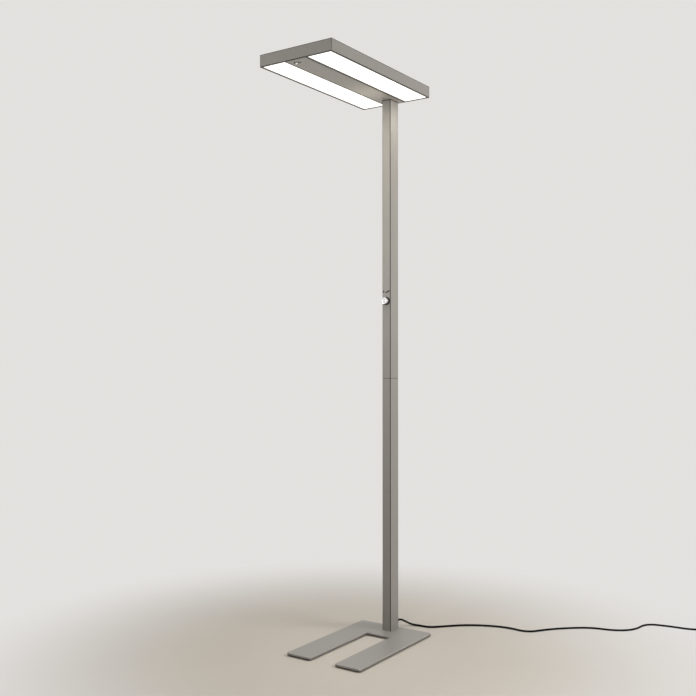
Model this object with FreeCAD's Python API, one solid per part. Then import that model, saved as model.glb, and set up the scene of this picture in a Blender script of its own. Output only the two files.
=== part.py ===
# Office floor lamp: a flat U-shaped steel base, a two-part rectangular column and a wide
# flat head that lights the desk through two lower panels and the ceiling through two upper ones.
# Millimetres. +Z is up and the floor is at Z = 0. The origin is on the floor under the middle
# of the head. The head and the legs of the base point to -Y, and the column stands at +Y.
import FreeCAD, Part
import math
import os
from FreeCAD import Vector

# ---------------------------------------------------------------- driving dimensions
# The whole lamp
TOTAL_HEIGHT = 1950.0
JOINT_GAP = 0.3  # between pieces that slide or drop into each other
THREAD_GAP = 0.1  # between a screw's shank and the hole it bites in, threads left out
TOUCH_DEPTH = 1.0  # how far a cutter reaches past the face it starts from
TINY = 1e-6  # places nearer to each other than this are the same place

# Base
BASE_WIDTH = 290.0
BASE_LENGTH = 454.0
PLATE_THICKNESS = 8.0
PAD_THICKNESS = 3.0
PAD_RADIUS = 11.0
PAD_INSET = 20.0
PAD_CHAMFER = 0.6
SLOT_WIDTH = 98.0
SLOT_LENGTH = 335.0
PLATE_CORNER_RADIUS = 4.0
PLATE_EDGE_CHAMFER = 0.6

# Column
COLUMN_WIDTH = 34.0
COLUMN_DEPTH = 54.0
COLUMN_WALL = 2.2
COLUMN_CORNER_RADIUS = 2.0
COLUMN_END_CHAMFER = 0.4  # round both profiles at the seam
COLUMN_SETBACK = 11.0  # from the column's back to the back edges of head and base
LOWER_COLUMN_LENGTH = 900.0
CAP_THICKNESS = 2.0
PORT_INSET = 5.6  # from an outer face to the middle of a screw port
PORT_BOSS_RADIUS = 4.2

# Screws that hold column, base and head together
COLUMN_SCREW_RADIUS = 2.5
COLUMN_SCREW_BITE = 17.0
COLUMN_SCREW_HEAD_RADIUS = 4.4
SOCKET_HEAD_HEIGHT = 5.0
SOCKET_DEPTH = 2.4
SOCKET_RADIUS = 2.2

# Splice inside the column
SPLICE_LENGTH = 160.0
SPLICE_CORE_WIDTH = 16.0
SPLICE_CORE_DEPTH = 22.0
SPLICE_CORE_RADIUS = 4.0
SPLICE_SCREW_SPACING = 40.0
SPLICE_SCREW_BITE = 9.0
BUTTON_HEAD_HEIGHT = 2.6

# Dimmer
DIMMER_HEIGHT = 1188.0
BEZEL_RADIUS = 14.8
BEZEL_BORE_RADIUS = 8.2
BEZEL_THICKNESS = 2.5
BEZEL_EDGE_RADIUS = 0.8
KNOB_RADIUS = 12.0
KNOB_REACH = 16.0  # from the column's face to the knob's front
KNOB_WALL = 2.6
KNOB_FRONT_THICKNESS = 2.4
KNOB_EDGE_RADIUS = 1.2
KNOB_DISH_RADIUS = 9.6
KNOB_DISH_DEPTH = 0.6
KNOB_TRAVEL = 1.0
KNOB_REST_GAP = 1.5  # behind the knob's rim, at rest
HUB_RADIUS = 5.2
SHAFT_RADIUS = 3.0
SHAFT_FLAT_DEPTH = 0.5
SHAFT_GRIP_GAP = 0.02
SHAFT_RUNNING_GAP = 0.05
SHAFT_TO_KNOB_FRONT = 2.2
GRUB_RADIUS = 1.4
GRUB_LENGTH = 3.6
DIMMER_BODY_HEIGHT = 13.0
DIMMER_BODY_DEPTH = 7.0
BUSH_RADIUS = 4.4
BUSH_REACH = 5.5  # in front of the column's face
NUT_ACROSS_FLATS = 11.0
NUT_THICKNESS = 2.0
PLUNGER_SIDE = 6.0
PLUNGER_DEPTH = 2.8
PLUNGER_HEADROOM = 1.4  # from the switch chamber's front to the plunger
CHAMBER_WALL = 1.2

# Head
HEAD_LENGTH = 600.0
HEAD_WIDTH = 280.0
HEAD_HEIGHT = 40.0
RAIL_WALL = 2.0
RAIL_LIP = 4.0  # from the outer face to the tip of a lip or rib
LIP_THICKNESS = 1.5
RIB_THICKNESS = 1.2
RAIL_EDGE_RADIUS = 0.8
PANEL_THICKNESS = 2.0
TRAY_THICKNESS = 1.5
GROOVE_SLACK = 0.5  # a groove's height over the sheet in it
EDGE_SLACK = 0.5  # a sheet's edge to the groove's bottom
BEAM_WIDTH = 84.0
BEAM_WEB = 2.0
BEAM_END_GAP = 0.2
LEDGE_WIDTH = 7.0
LEDGE_THICKNESS = 1.5
COVER_THICKNESS = 1.5
COVER_SCREW_RADIUS = 1.5
COVER_SCREW_HEAD_RADIUS = 2.7
COVER_SCREW_LENGTH = 6.0
COVER_SCREW_INSET = 40.0
CLEAT_ARM = 22.0
CLEAT_THICKNESS = 1.8
BRACKET_ARM = 26.0
BRACKET_SCREW_RADIUS = 2.0
BRACKET_SCREW_HEAD_RADIUS = 3.6
BRACKET_SCREW_HEAD_HEIGHT = 2.2
BRACKET_SCREW_TIP = 2.0  # past the beam's wall
HEAD_PLATE_WIDTH = 68.0
HEAD_PLATE_LENGTH = 66.0
HEAD_PLATE_THICKNESS = 4.0
CABLE_SLOT_WIDTH = 15.0
CABLE_SLOT_LENGTH = 32.0

# Light boards
BOARD_WIDTH = 60.0
BOARD_LENGTH = 570.0
BOARD_THICKNESS = 1.6
LED_SIDE = 3.2
LED_HEIGHT = 0.8
LED_ROWS = 2
LEDS_PER_ROW = 14
LED_ROW_SPACING = 28.0
CONNECTOR_WIDTH = 8.0
CONNECTOR_LENGTH = 10.0
CONNECTOR_HEIGHT = 5.2
BOARD_WIRE_RADIUS = 1.2
BOARD_WIRE_PLACE = 100.0  # along the head, either side of its middle

# Driver and terminal block
DRIVER_LENGTH = 290.0
DRIVER_WIDTH = 58.0
DRIVER_HEIGHT = 26.0
DRIVER_EDGE_RADIUS = 2.0
EAR_LENGTH = 12.0
EAR_THICKNESS = 3.0
STUD_RADIUS = 2.0
STUD_SPACING = 40.0
STUD_PAST_NUT = 1.5
SMALL_NUT_ACROSS_FLATS = 7.0
SMALL_NUT_THICKNESS = 3.2
TERMINAL_WIDTH = 30.0
TERMINAL_LENGTH = 26.0
TERMINAL_HEIGHT = 22.0
TERMINAL_POLES = 3
TERMINAL_WELL_RADIUS = 2.4
TERMINAL_WELL_DEPTH = 6.0
TERMINAL_GAP = 32.0  # from the driver to the terminal block
TERMINAL_TO_PLATE = 30.0  # from the terminal block to the plate over the column
TERMINAL_STUD_WELL_RADIUS = 4.5

# Sensors near the head's front end
SENSOR_FROM_FRONT = 30.0
SENSOR_OFFSET = -16.0
SENSOR_FLANGE_RADIUS = 8.6
SENSOR_FLANGE_THICKNESS = 1.2
SENSOR_SLEEVE_RADIUS = 6.2
SENSOR_BORE_RADIUS = 5.2
LENS_RADIUS = 4.9
LENS_DROP = 4.2  # below the head's underside
DAYLIGHT_OFFSET = -1.6
DAYLIGHT_SETBACK = 2.0
DAYLIGHT_RADIUS = 3.2
DAYLIGHT_FLANGE_RADIUS = 4.4
STATUS_OFFSET = 9.0
STATUS_SETBACK = 12.0
STATUS_RADIUS = 1.4
SENSOR_BOARD_WIDTH = 46.0
SENSOR_BOARD_LENGTH = 34.0
SENSOR_BOARD_HEIGHT = 9.0  # its underside above the head's underside
SENSOR_CAN_HEIGHT = 3.6
SENSOR_CAN_RADIUS = 4.6

# Leads inside
INNER_LEAD_RADIUS = 3.0
INNER_LEAD_OFFSET = -3.2
INNER_LEAD_BEND = 18.0
INNER_LEAD_SLANT_TOP = 300.0  # where the lead has reached its offset
CONTROL_LEAD_RADIUS = 1.75
CONTROL_LEAD_OFFSET = 3.6
CONTROL_LEAD_BEND = 16.0
CONTROL_LEAD_SETBACK = 8.0  # in front of the column's middle
CONTROL_LEAD_RISE = 64.0  # from its start to where it has reached its offset
LEAD_ENTRY_HEIGHT = 14.0  # above the head's underside
CONTROL_ENTRY_HEIGHT = 20.0
CONTROL_ENTRY_OFFSET = 20.0

# Mains cord
CORD_RADIUS = 3.5
GLAND_HEIGHT = 30.5
GLAND_FLANGE_RADIUS = 8.5
GLAND_FLANGE_THICKNESS = 2.0
GLAND_SNAP_RADIUS = 6.0
GLAND_SNAP_REACH = 4.8  # inside the column's wall
GLAND_BOOT_LENGTH = 20.0
GLAND_BOOT_ROOT_RADIUS = 6.4
GLAND_BOOT_TIP_RADIUS = 4.6
GLAND_RINGS = 3
GLAND_RING_DEPTH = 0.7
GLAND_RING_WIDTH = 1.8

# The cord's way from the gland's tip over the floor to the coil
ROUTE_BEHIND_GLAND = [
    (0.0, 332.0, 30.5),
    (4.1, 356.2, 16.7),
    (24.4, 373.1, 4.1),
    (53.9, 379.9, 3.5),
    (96.1, 381.3, 3.5),
    (140.4, 432.2, 3.5),
    (192.0, 483.3, 3.5),
    (265.1, 522.0, 3.5),
    (335.5, 539.9, 3.5),
    (410.4, 525.2, 3.5),
    (458.1, 599.3, 3.5),
    (516.6, 660.6, 3.5),
    (581.9, 709.6, 3.5),
    (665.3, 721.7, 3.5),
    (720.6, 773.2, 3.5),
    (730.0, 867.9, 3.5),
    (806.7, 886.2, 3.5),
    (889.3, 884.8, 4.7),
    (950.3, 928.1, 4.7),
]
ROUTE_ARC_SHARE = 0.45  # of the shorter run, from a corner to where its arc starts

# Coil that holds the rest of the cord
COIL_TURNS = 3.5
COIL_INNER_RADIUS = 29.0
COIL_PITCH = 7.5  # from turn to turn, across and up
COIL_CLIMB_TURNS = 0.5
COIL_STEPS_PER_TURN = 4
COIL_WAY_IN = 7.0
COIL_WAY_OUT = 14.0
TIE_WIDTH = 7.0
TIE_THICKNESS = 0.8
TIE_GAP = 0.4
TIE_CORNER_RADIUS = 3.0
TIE_PLACE_TURNS = 0.25

# Plug
PLUG_RADIUS = 18.6
PLUG_HEIGHT = 26.0
PLUG_BACK_RADIUS = 3.0
PLUG_BOOT_LENGTH = 30.0
PLUG_BOOT_ROOT_RADIUS = 8.5
PLUG_BOOT_TIP_RADIUS = 4.8
PLUG_BOOT_RINGS = 4
PIN_RADIUS = 2.4
PIN_LENGTH = 19.0
PIN_SPACING = 19.0
PIN_TIP_RADIUS = 1.2
CLIP_WIDTH = 6.0
CLIP_THICKNESS = 0.8
CLIP_HEIGHT = 16.0
CLIP_GROOVE_DEPTH = 1.4

# ---------------------------------------------------------------- sizes worked out from these
PLATE_TOP = PAD_THICKNESS + PLATE_THICKNESS
HEAD_BOTTOM = TOTAL_HEIGHT - HEAD_HEIGHT
HEAD_BACK = HEAD_LENGTH / 2
HEAD_FRONT = -HEAD_LENGTH / 2
HEAD_SIDE = HEAD_WIDTH / 2
COLUMN_BACK = HEAD_BACK - COLUMN_SETBACK
COLUMN_Y = COLUMN_BACK - COLUMN_DEPTH / 2
COLUMN_FRONT = COLUMN_BACK - COLUMN_DEPTH
COLUMN_TOP = HEAD_BOTTOM - CAP_THICKNESS
SEAM_HEIGHT = PLATE_TOP + LOWER_COLUMN_LENGTH
PORT_X = COLUMN_WIDTH / 2 - PORT_INSET
PORT_Y = COLUMN_DEPTH / 2 - PORT_INSET
PORT_PLACES = [
    (side * PORT_X, COLUMN_Y + end * PORT_Y) for side in (-1, 1) for end in (-1, 1)
]
COLUMN_HOLE_RADIUS = COLUMN_SCREW_RADIUS + THREAD_GAP
CLEAR_HOLE_RADIUS = COLUMN_SCREW_RADIUS + JOINT_GAP
BOSS_FREE_X = PORT_X - PORT_BOSS_RADIUS  # half the free width between two bosses
BOSS_FREE_Y = PORT_Y - PORT_BOSS_RADIUS

# Heights in the head, above its underside
PANEL_GROOVE = PANEL_THICKNESS + GROOVE_SLACK
TRAY_GROOVE = TRAY_THICKNESS + GROOVE_SLACK
LOWER_RIB = LIP_THICKNESS + PANEL_GROOVE
TRAY_RIB = (HEAD_HEIGHT - TRAY_GROOVE) / 2 - RIB_THICKNESS
TRAY_SEAT = TRAY_RIB + RIB_THICKNESS
TRAY_CAP_RIB = TRAY_SEAT + TRAY_GROOVE
UPPER_RIB = HEAD_HEIGHT - LIP_THICKNESS - PANEL_GROOVE - RIB_THICKNESS
UPPER_SEAT = UPPER_RIB + RIB_THICKNESS
RIBS = [
    (0.0, LIP_THICKNESS),
    (LOWER_RIB, LOWER_RIB + RIB_THICKNESS),
    (TRAY_RIB, TRAY_SEAT),
    (TRAY_CAP_RIB, TRAY_CAP_RIB + RIB_THICKNESS),
    (UPPER_RIB, UPPER_SEAT),
    (HEAD_HEIGHT - LIP_THICKNESS, HEAD_HEIGHT),
]
LOWER_CHANNEL = (LOWER_RIB + RIB_THICKNESS, TRAY_RIB)
UPPER_CHANNEL = (TRAY_CAP_RIB + RIB_THICKNESS, UPPER_RIB)
LEDGE_TOP = HEAD_HEIGHT - COVER_THICKNESS

# Widths in the head
BEAM_SIDE = BEAM_WIDTH / 2
BEAM_OUTER_WALL = BEAM_SIDE - (RAIL_LIP - RAIL_WALL)
BEAM_INNER_WALL = BEAM_OUTER_WALL - RAIL_WALL
BEAM_END = HEAD_BACK - RAIL_LIP - BEAM_END_GAP
SHEET_INNER = BEAM_OUTER_WALL + EDGE_SLACK
SHEET_OUTER = HEAD_SIDE - RAIL_WALL - EDGE_SLACK
SHEET_END = HEAD_BACK - RAIL_WALL - EDGE_SLACK
BOARD_MIDDLE = (SHEET_INNER + SHEET_OUTER) / 2
BOARD_INNER = BOARD_MIDDLE - BOARD_WIDTH / 2
CONNECTOR_INNER = BOARD_INNER + THREAD_GAP
LOWER_WIRE_HEIGHT = TRAY_SEAT - BOARD_THICKNESS - CONNECTOR_HEIGHT / 2
UPPER_WIRE_HEIGHT = TRAY_SEAT + TRAY_THICKNESS + BOARD_THICKNESS + CONNECTOR_HEIGHT / 2

TERMINAL_BACK = COLUMN_Y - HEAD_PLATE_LENGTH / 2 - TERMINAL_TO_PLATE
TERMINAL_FRONT = TERMINAL_BACK - TERMINAL_LENGTH
DRIVER_BACK = TERMINAL_FRONT - TERMINAL_GAP
DRIVER_FRONT = DRIVER_BACK - DRIVER_LENGTH
SENSOR_Y = HEAD_FRONT + SENSOR_FROM_FRONT
DAYLIGHT_Y = SENSOR_Y + DAYLIGHT_SETBACK
STATUS_Y = SENSOR_Y + STATUS_SETBACK

# Depths in the dimmer, along +Y
DIMMER_FRONT = COLUMN_FRONT + COLUMN_WALL
DIMMER_BACK = DIMMER_FRONT + DIMMER_BODY_DEPTH
PLUNGER_FRONT = DIMMER_BACK + PLUNGER_HEADROOM
KNOB_FRONT = COLUMN_FRONT - KNOB_REACH
KNOB_RIM = COLUMN_FRONT - BEZEL_THICKNESS - KNOB_REST_GAP
HUB_BACK = COLUMN_FRONT - BUSH_REACH - JOINT_GAP - KNOB_TRAVEL

GLAND_TIP = COLUMN_BACK + GLAND_FLANGE_THICKNESS + GLAND_BOOT_LENGTH
GLAND_INNER_END = COLUMN_BACK - COLUMN_WALL - GLAND_SNAP_REACH
ROUTE = [(0.0, GLAND_TIP, GLAND_HEIGHT)] + ROUTE_BEHIND_GLAND


# ---------------------------------------------------------------- shape helpers
def corner_arc(before, corner, after, reach):
    """The arc that leaves both runs of a corner `reach` away from it, and its radius."""
    way_in = (corner - before).normalize()
    way_out = (after - corner).normalize()
    half_turn = way_in.getAngle(way_out) / 2
    start = corner - way_in * reach
    end = corner + way_out * reach
    radius = reach / math.tan(half_turn)
    chord_middle = (start + end) / 2
    rise = (corner - chord_middle).Length
    sagitta = radius * (1 - math.cos(half_turn))
    middle = chord_middle + (corner - chord_middle) * (sagitta / rise)
    return start, middle, end, radius


def outline(points, radius=0.0):
    """A flat face inside a closed outline. `radius` is one value, or one for each corner."""
    radii = radius if isinstance(radius, list) else [radius] * len(points)
    corners = [Vector(*point) for point in points]
    count = len(corners)
    ends = []
    edges = []
    for i, corner in enumerate(corners):
        before = corners[i - 1]
        after = corners[(i + 1) % count]
        if radii[i] == 0:
            ends.append((corner, corner))
            continue
        half_turn = (corner - before).getAngle(after - corner) / 2
        start, middle, end, _ = corner_arc(before, corner, after, radii[i] * math.tan(half_turn))
        edges.append(Part.Arc(start, middle, end).toShape())
        ends.append((start, end))
    for i in range(count):
        start = ends[i][1]
        end = ends[(i + 1) % count][0]
        if (end - start).Length > TINY:
            edges.append(Part.LineSegment(start, end).toShape())
    return Part.Face(Part.Wire(Part.__sortEdges__(edges)))


def rectangle(width, depth, centre=(0.0, 0.0), height=0.0, radius=0.0):
    """A flat horizontal rectangle with rounded corners."""
    x, y = centre
    points = [
        (x + side * width / 2, y + end * depth / 2, height)
        for side, end in ((-1, -1), (1, -1), (1, 1), (-1, 1))
    ]
    return outline(points, radius)


def upright(face, height):
    """A flat face pushed up into a solid."""
    return face.extrude(Vector(0, 0, height))


def block(x_range, y_range, z_range):
    """A box between three pairs of limits."""
    size = [high - low for low, high in (x_range, y_range, z_range)]
    return Part.makeBox(*size, Vector(x_range[0], y_range[0], z_range[0]))


def rod(radius, start, end):
    """A round bar between two points."""
    start = Vector(*start)
    way = Vector(*end) - start
    return Part.makeCylinder(radius, way.Length, start, way)


def taper(start_radius, end_radius, start, end):
    """A cone's stump between two points."""
    start = Vector(*start)
    way = Vector(*end) - start
    return Part.makeCone(start_radius, end_radius, way.Length, start, way)


def hexagon(across_flats, start, length, way):
    """A six-sided bar that starts at a point and runs along `way`."""
    side = Vector(0, 0, 1) if abs(way.z) < 0.5 else Vector(1, 0, 0)
    across = way.cross(side)
    radius = across_flats / 2 / math.cos(math.pi / 6)
    points = []
    for i in range(6):
        angle = math.pi / 3 * i
        points.append(start + side * radius * math.cos(angle) + across * radius * math.sin(angle))
    return outline(points).extrude(way * length)


def turned(points, centre, axis):
    """A solid turned about `axis`. Each point is a radius and a distance along the axis."""
    side = axis.cross(Vector(1, 0, 0)).normalize()
    profile = outline([centre + side * radius + axis * along for radius, along in points])
    return profile.revolve(centre, axis, 360)


def fused(shapes):
    """One solid from pieces that meet, with no seams left on its flat faces."""
    return shapes[0].multiFuse(shapes[1:]).removeSplitter()


def group(shapes):
    """Separate solids that share a node."""
    return Part.makeCompound(shapes)


def mirrored(shape):
    """The same piece on the lamp's other side."""
    return shape.mirror(Vector(0, 0, 0), Vector(1, 0, 0))


# ---------------------------------------------------------------- base
def base_plate():
    back = HEAD_BACK
    front = back - BASE_LENGTH
    slot_end = front + SLOT_LENGTH
    side = BASE_WIDTH / 2
    slot_side = SLOT_WIDTH / 2
    corners = [
        (-side, back),
        (-side, front),
        (-slot_side, front),
        (-slot_side, slot_end),
        (slot_side, slot_end),
        (slot_side, front),
        (side, front),
        (side, back),
    ]
    face = outline([(x, y, PAD_THICKNESS) for x, y in corners], PLATE_CORNER_RADIUS)
    plate = upright(face, PLATE_THICKNESS)
    top_edges = [edge for edge in plate.Edges if edge.BoundBox.ZMin > PLATE_TOP - TINY]
    plate = plate.makeChamfer(PLATE_EDGE_CHAMFER, top_edges)
    return plate.cut([base_screw(x, y, JOINT_GAP) for x, y in PORT_PLACES])


def countersunk(mouth, way, head_radius, shank_radius, length, gap):
    """A countersunk screw, or the cutter for one if `gap` is more than 0.

    The cutter's cone is the screw's own, so the head is seated, and its shank has the gap."""
    start = mouth - way * gap
    shank_radius += gap
    cone_end = mouth + way * (head_radius - shank_radius)
    head = taper(head_radius + gap, shank_radius, start, cone_end)
    return fused([head, rod(shank_radius, cone_end, mouth + way * length)])


def base_screw(x, y, gap):
    """A screw that rises through the plate into a port of the column."""
    mouth = Vector(x, y, PAD_THICKNESS)
    length = PLATE_THICKNESS + COLUMN_SCREW_BITE
    radii = (COLUMN_SCREW_HEAD_RADIUS, COLUMN_SCREW_RADIUS)
    return countersunk(mouth, Vector(0, 0, 1), *radii, length, gap)


def base_screws():
    screws = []
    for x, y in PORT_PLACES:
        bottom = Vector(x, y, PAD_THICKNESS)
        socket = hexagon(SOCKET_RADIUS * math.sqrt(3), bottom, SOCKET_DEPTH / 2, Vector(0, 0, 1))
        screws.append(base_screw(x, y, 0.0).cut(socket))
    return group(screws)


def base_feet():
    """Six round rubber pads: at the legs' tips, at the slot's end and at the back corners."""
    front = HEAD_BACK - BASE_LENGTH
    rows = [front + PAD_INSET, front + SLOT_LENGTH, HEAD_BACK - PAD_INSET]
    pads = []
    for side in (-1, 1):
        for y in rows:
            x = side * (BASE_WIDTH / 2 - PAD_INSET)
            pad = rod(PAD_RADIUS, (x, y, 0), (x, y, PAD_THICKNESS))
            rim = [edge for edge in pad.Edges if edge.BoundBox.ZMax < TINY]
            pads.append(pad.makeChamfer(PAD_CHAMFER, rim))
    return group(pads)


# ---------------------------------------------------------------- column
def column_section(height):
    """The extruded profile: a thin wall, a screw port in each corner and one open chamber."""
    centre = (0.0, COLUMN_Y)
    outer = rectangle(COLUMN_WIDTH, COLUMN_DEPTH, centre, height, COLUMN_CORNER_RADIUS)
    chamber = rectangle(
        COLUMN_WIDTH - 2 * COLUMN_WALL, COLUMN_DEPTH - 2 * COLUMN_WALL, centre, height
    )
    for x, y in PORT_PLACES:
        chamber = chamber.cut(disc(PORT_BOSS_RADIUS, x, y, height))
    section = outer.cut(chamber)
    for x, y in PORT_PLACES:
        section = section.cut(disc(COLUMN_HOLE_RADIUS, x, y, height))
    return section


def disc(radius, x, y, height):
    """A flat round face."""
    return Part.Face(Part.Wire(Part.makeCircle(radius, Vector(x, y, height))))


def splice_screw_heights(part):
    """Heights of the splice's two screws below the seam (-1) or above it (1)."""
    first = SEAM_HEIGHT + part * SPLICE_SCREW_SPACING / 2
    return [first, first + part * SPLICE_SCREW_SPACING]


def back_hole(radius, height):
    """A cutter through the column's back wall."""
    start = (0, COLUMN_BACK + TOUCH_DEPTH, height)
    return rod(radius, start, (0, COLUMN_BACK - COLUMN_WALL - TOUCH_DEPTH, height))


def eased_at_seam(column):
    """The outer edge broken all round, so that the seam reads as a fine line."""
    ends = [face for face in column.Faces if abs(face.CenterOfMass.z - SEAM_HEIGHT) < TINY]
    return column.makeChamfer(COLUMN_END_CHAMFER, ends[0].OuterWire.Edges)


def lower_column():
    column = eased_at_seam(upright(column_section(PLATE_TOP), LOWER_COLUMN_LENGTH))
    holes = [back_hole(CLEAR_HOLE_RADIUS, height) for height in splice_screw_heights(-1)]
    holes.append(back_hole(GLAND_SNAP_RADIUS + THREAD_GAP, GLAND_HEIGHT))
    return column.cut(holes)


def upper_column():
    column = eased_at_seam(upright(column_section(SEAM_HEIGHT), COLUMN_TOP - SEAM_HEIGHT))
    holes = [back_hole(CLEAR_HOLE_RADIUS, height) for height in splice_screw_heights(1)]
    holes.append(
        rod(
            BUSH_RADIUS + THREAD_GAP,
            (0, COLUMN_FRONT - TOUCH_DEPTH, DIMMER_HEIGHT),
            (0, DIMMER_FRONT + TOUCH_DEPTH, DIMMER_HEIGHT),
        )
    )
    return column.cut(holes)


def column_splice():
    """A cross-shaped insert on both sides of the seam, drawn against the back wall."""
    centre = (0.0, COLUMN_Y)
    bottom = SEAM_HEIGHT - SPLICE_LENGTH / 2
    chamber_x = COLUMN_WIDTH / 2 - COLUMN_WALL - JOINT_GAP
    wide = rectangle(2 * chamber_x, 2 * (BOSS_FREE_Y - JOINT_GAP), centre, bottom)
    core = rectangle(SPLICE_CORE_WIDTH, SPLICE_CORE_DEPTH, centre, bottom, SPLICE_CORE_RADIUS)
    deep_x = BOSS_FREE_X - JOINT_GAP
    deep = block(
        (-deep_x, deep_x),
        (DIMMER_FRONT + JOINT_GAP, COLUMN_BACK - COLUMN_WALL),
        (bottom, bottom + SPLICE_LENGTH),
    )
    insert = fused([upright(wide, SPLICE_LENGTH), deep])
    insert = insert.cut(upright(core, SPLICE_LENGTH))
    inner_end = COLUMN_Y + SPLICE_CORE_DEPTH / 2 - TOUCH_DEPTH
    for height in splice_screw_heights(-1) + splice_screw_heights(1):
        hole = rod(COLUMN_HOLE_RADIUS, (0, COLUMN_BACK, height), (0, inner_end, height))
        insert = insert.cut(hole)
    return insert


def splice_screws():
    """Button-head screws in the column's back, two for each profile."""
    screws = []
    inward = Vector(0, -1, 0)
    for height in splice_screw_heights(-1) + splice_screw_heights(1):
        face = Vector(0, COLUMN_BACK, height)
        crown = face - inward * BUTTON_HEAD_HEIGHT
        tip = face + inward * (COLUMN_WALL + SPLICE_SCREW_BITE)
        shank = rod(COLUMN_SCREW_RADIUS, face, tip)
        head = rod(COLUMN_SCREW_HEAD_RADIUS, face, crown)
        rim = [edge for edge in head.Edges if edge.BoundBox.YMin > crown.y - TINY]
        head = head.makeFillet(BUTTON_HEAD_HEIGHT / 2, rim)
        socket = hexagon(SOCKET_RADIUS * math.sqrt(3), crown, BUTTON_HEAD_HEIGHT / 2, inward)
        screws.append(fused([head, shank]).cut(socket))
    return group(screws)


def cable_slot(height, depth):
    """A cutter for the long hole that both leads pass from the column to the head."""
    centre = (0.0, COLUMN_Y)
    face = rectangle(CABLE_SLOT_WIDTH, CABLE_SLOT_LENGTH, centre, height, CABLE_SLOT_WIDTH / 2)
    return upright(face, depth)


def column_screw_holes(bottom, top):
    """Cutters for the four screws that run from the head into the column."""
    return [rod(CLEAR_HOLE_RADIUS, (x, y, bottom), (x, y, top)) for x, y in PORT_PLACES]


def column_cap():
    """The dark plastic plate between the column and the head."""
    face = rectangle(
        COLUMN_WIDTH, COLUMN_DEPTH, (0.0, COLUMN_Y), COLUMN_TOP, COLUMN_CORNER_RADIUS
    )
    cap = upright(face, CAP_THICKNESS)
    holes = column_screw_holes(COLUMN_TOP, HEAD_BOTTOM)
    return cap.cut(holes + [cable_slot(COLUMN_TOP, CAP_THICKNESS)])


# ---------------------------------------------------------------- dimmer
def dimmer_axis(y):
    """A point on the dimmer's axis."""
    return Vector(0, y, DIMMER_HEIGHT)


BACKWARDS = Vector(0, 1, 0)


def dimmer_bezel():
    face = COLUMN_FRONT
    front = face - BEZEL_THICKNESS
    ring = rod(BEZEL_RADIUS, dimmer_axis(face), dimmer_axis(front))
    rim = [edge for edge in ring.Edges if edge.BoundBox.YMax < front + TINY]
    ring = ring.makeFillet(BEZEL_EDGE_RADIUS, rim)
    return ring.cut(rod(BEZEL_BORE_RADIUS, dimmer_axis(face), dimmer_axis(front)))


def dimmer_body():
    """The control behind the column's wall, its threaded bush and its push switch's chamber."""
    width = 2 * (BOSS_FREE_X - JOINT_GAP)
    low = DIMMER_HEIGHT - DIMMER_BODY_HEIGHT / 2
    high = DIMMER_HEIGHT + DIMMER_BODY_HEIGHT / 2
    body = block((-width / 2, width / 2), (DIMMER_FRONT, DIMMER_BACK), (low, high))
    bush = rod(BUSH_RADIUS, dimmer_axis(DIMMER_FRONT), dimmer_axis(COLUMN_FRONT - BUSH_REACH))
    inside = PLUNGER_SIDE / 2 + JOINT_GAP
    outside = inside + CHAMBER_WALL
    inner_depth = PLUNGER_HEADROOM + PLUNGER_DEPTH + KNOB_TRAVEL + JOINT_GAP
    chamber = square_bar(outside, DIMMER_BACK, DIMMER_BACK + inner_depth + CHAMBER_WALL)
    hollow = square_bar(inside, DIMMER_BACK, DIMMER_BACK + inner_depth)
    front = dimmer_axis(COLUMN_FRONT - BUSH_REACH)
    bore = rod(SHAFT_RADIUS + SHAFT_RUNNING_GAP, front, dimmer_axis(DIMMER_BACK))
    return fused([body, bush, chamber]).cut([hollow, bore])


def square_bar(half_side, start_y, end_y):
    """A square bar on the dimmer's axis."""
    across = (-half_side, half_side)
    return block(across, (start_y, end_y), (DIMMER_HEIGHT - half_side, DIMMER_HEIGHT + half_side))


def dimmer_nut():
    start = dimmer_axis(COLUMN_FRONT - NUT_THICKNESS)
    nut = hexagon(NUT_ACROSS_FLATS, start, NUT_THICKNESS, BACKWARDS)
    return nut.cut(rod(BUSH_RADIUS + THREAD_GAP, start, dimmer_axis(COLUMN_FRONT)))


def dimmer_knob():
    """A turned cap with a dished front, a rim over the bush and a hub on the shaft."""
    front = dimmer_axis(KNOB_FRONT)
    depth = KNOB_RIM - KNOB_FRONT
    hub_depth = HUB_BACK - KNOB_FRONT
    bore = SHAFT_RADIUS + SHAFT_GRIP_GAP
    profile = [
        (0.0, KNOB_DISH_DEPTH),
        (KNOB_DISH_RADIUS, KNOB_DISH_DEPTH),
        (KNOB_DISH_RADIUS + KNOB_DISH_DEPTH, 0.0),
        (KNOB_RADIUS, 0.0),
        (KNOB_RADIUS, depth),
        (KNOB_RADIUS - KNOB_WALL, depth),
        (KNOB_RADIUS - KNOB_WALL, KNOB_FRONT_THICKNESS),
        (HUB_RADIUS, KNOB_FRONT_THICKNESS),
        (HUB_RADIUS, hub_depth),
        (bore, hub_depth),
        (bore, SHAFT_TO_KNOB_FRONT),
        (0.0, SHAFT_TO_KNOB_FRONT),
    ]
    knob = turned(profile, front, BACKWARDS)
    face_edges = [edge for edge in knob.Edges if edge.BoundBox.YMax < KNOB_FRONT + TINY]
    rim = max(face_edges, key=lambda edge: edge.BoundBox.XLength)
    knob = knob.makeFillet(KNOB_EDGE_RADIUS, [rim])
    return knob.cut(grub_hole())


def grub_y():
    """How far back the grub screw sits: in the middle of the hub."""
    return (KNOB_FRONT + KNOB_FRONT_THICKNESS + HUB_BACK) / 2


def grub_hole():
    """A cutter from the knob's rim to the shaft, on the knob's underside."""
    low = (0, grub_y(), DIMMER_HEIGHT - KNOB_RADIUS - TOUCH_DEPTH)
    return rod(GRUB_RADIUS + THREAD_GAP, low, dimmer_axis(grub_y()))


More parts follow.
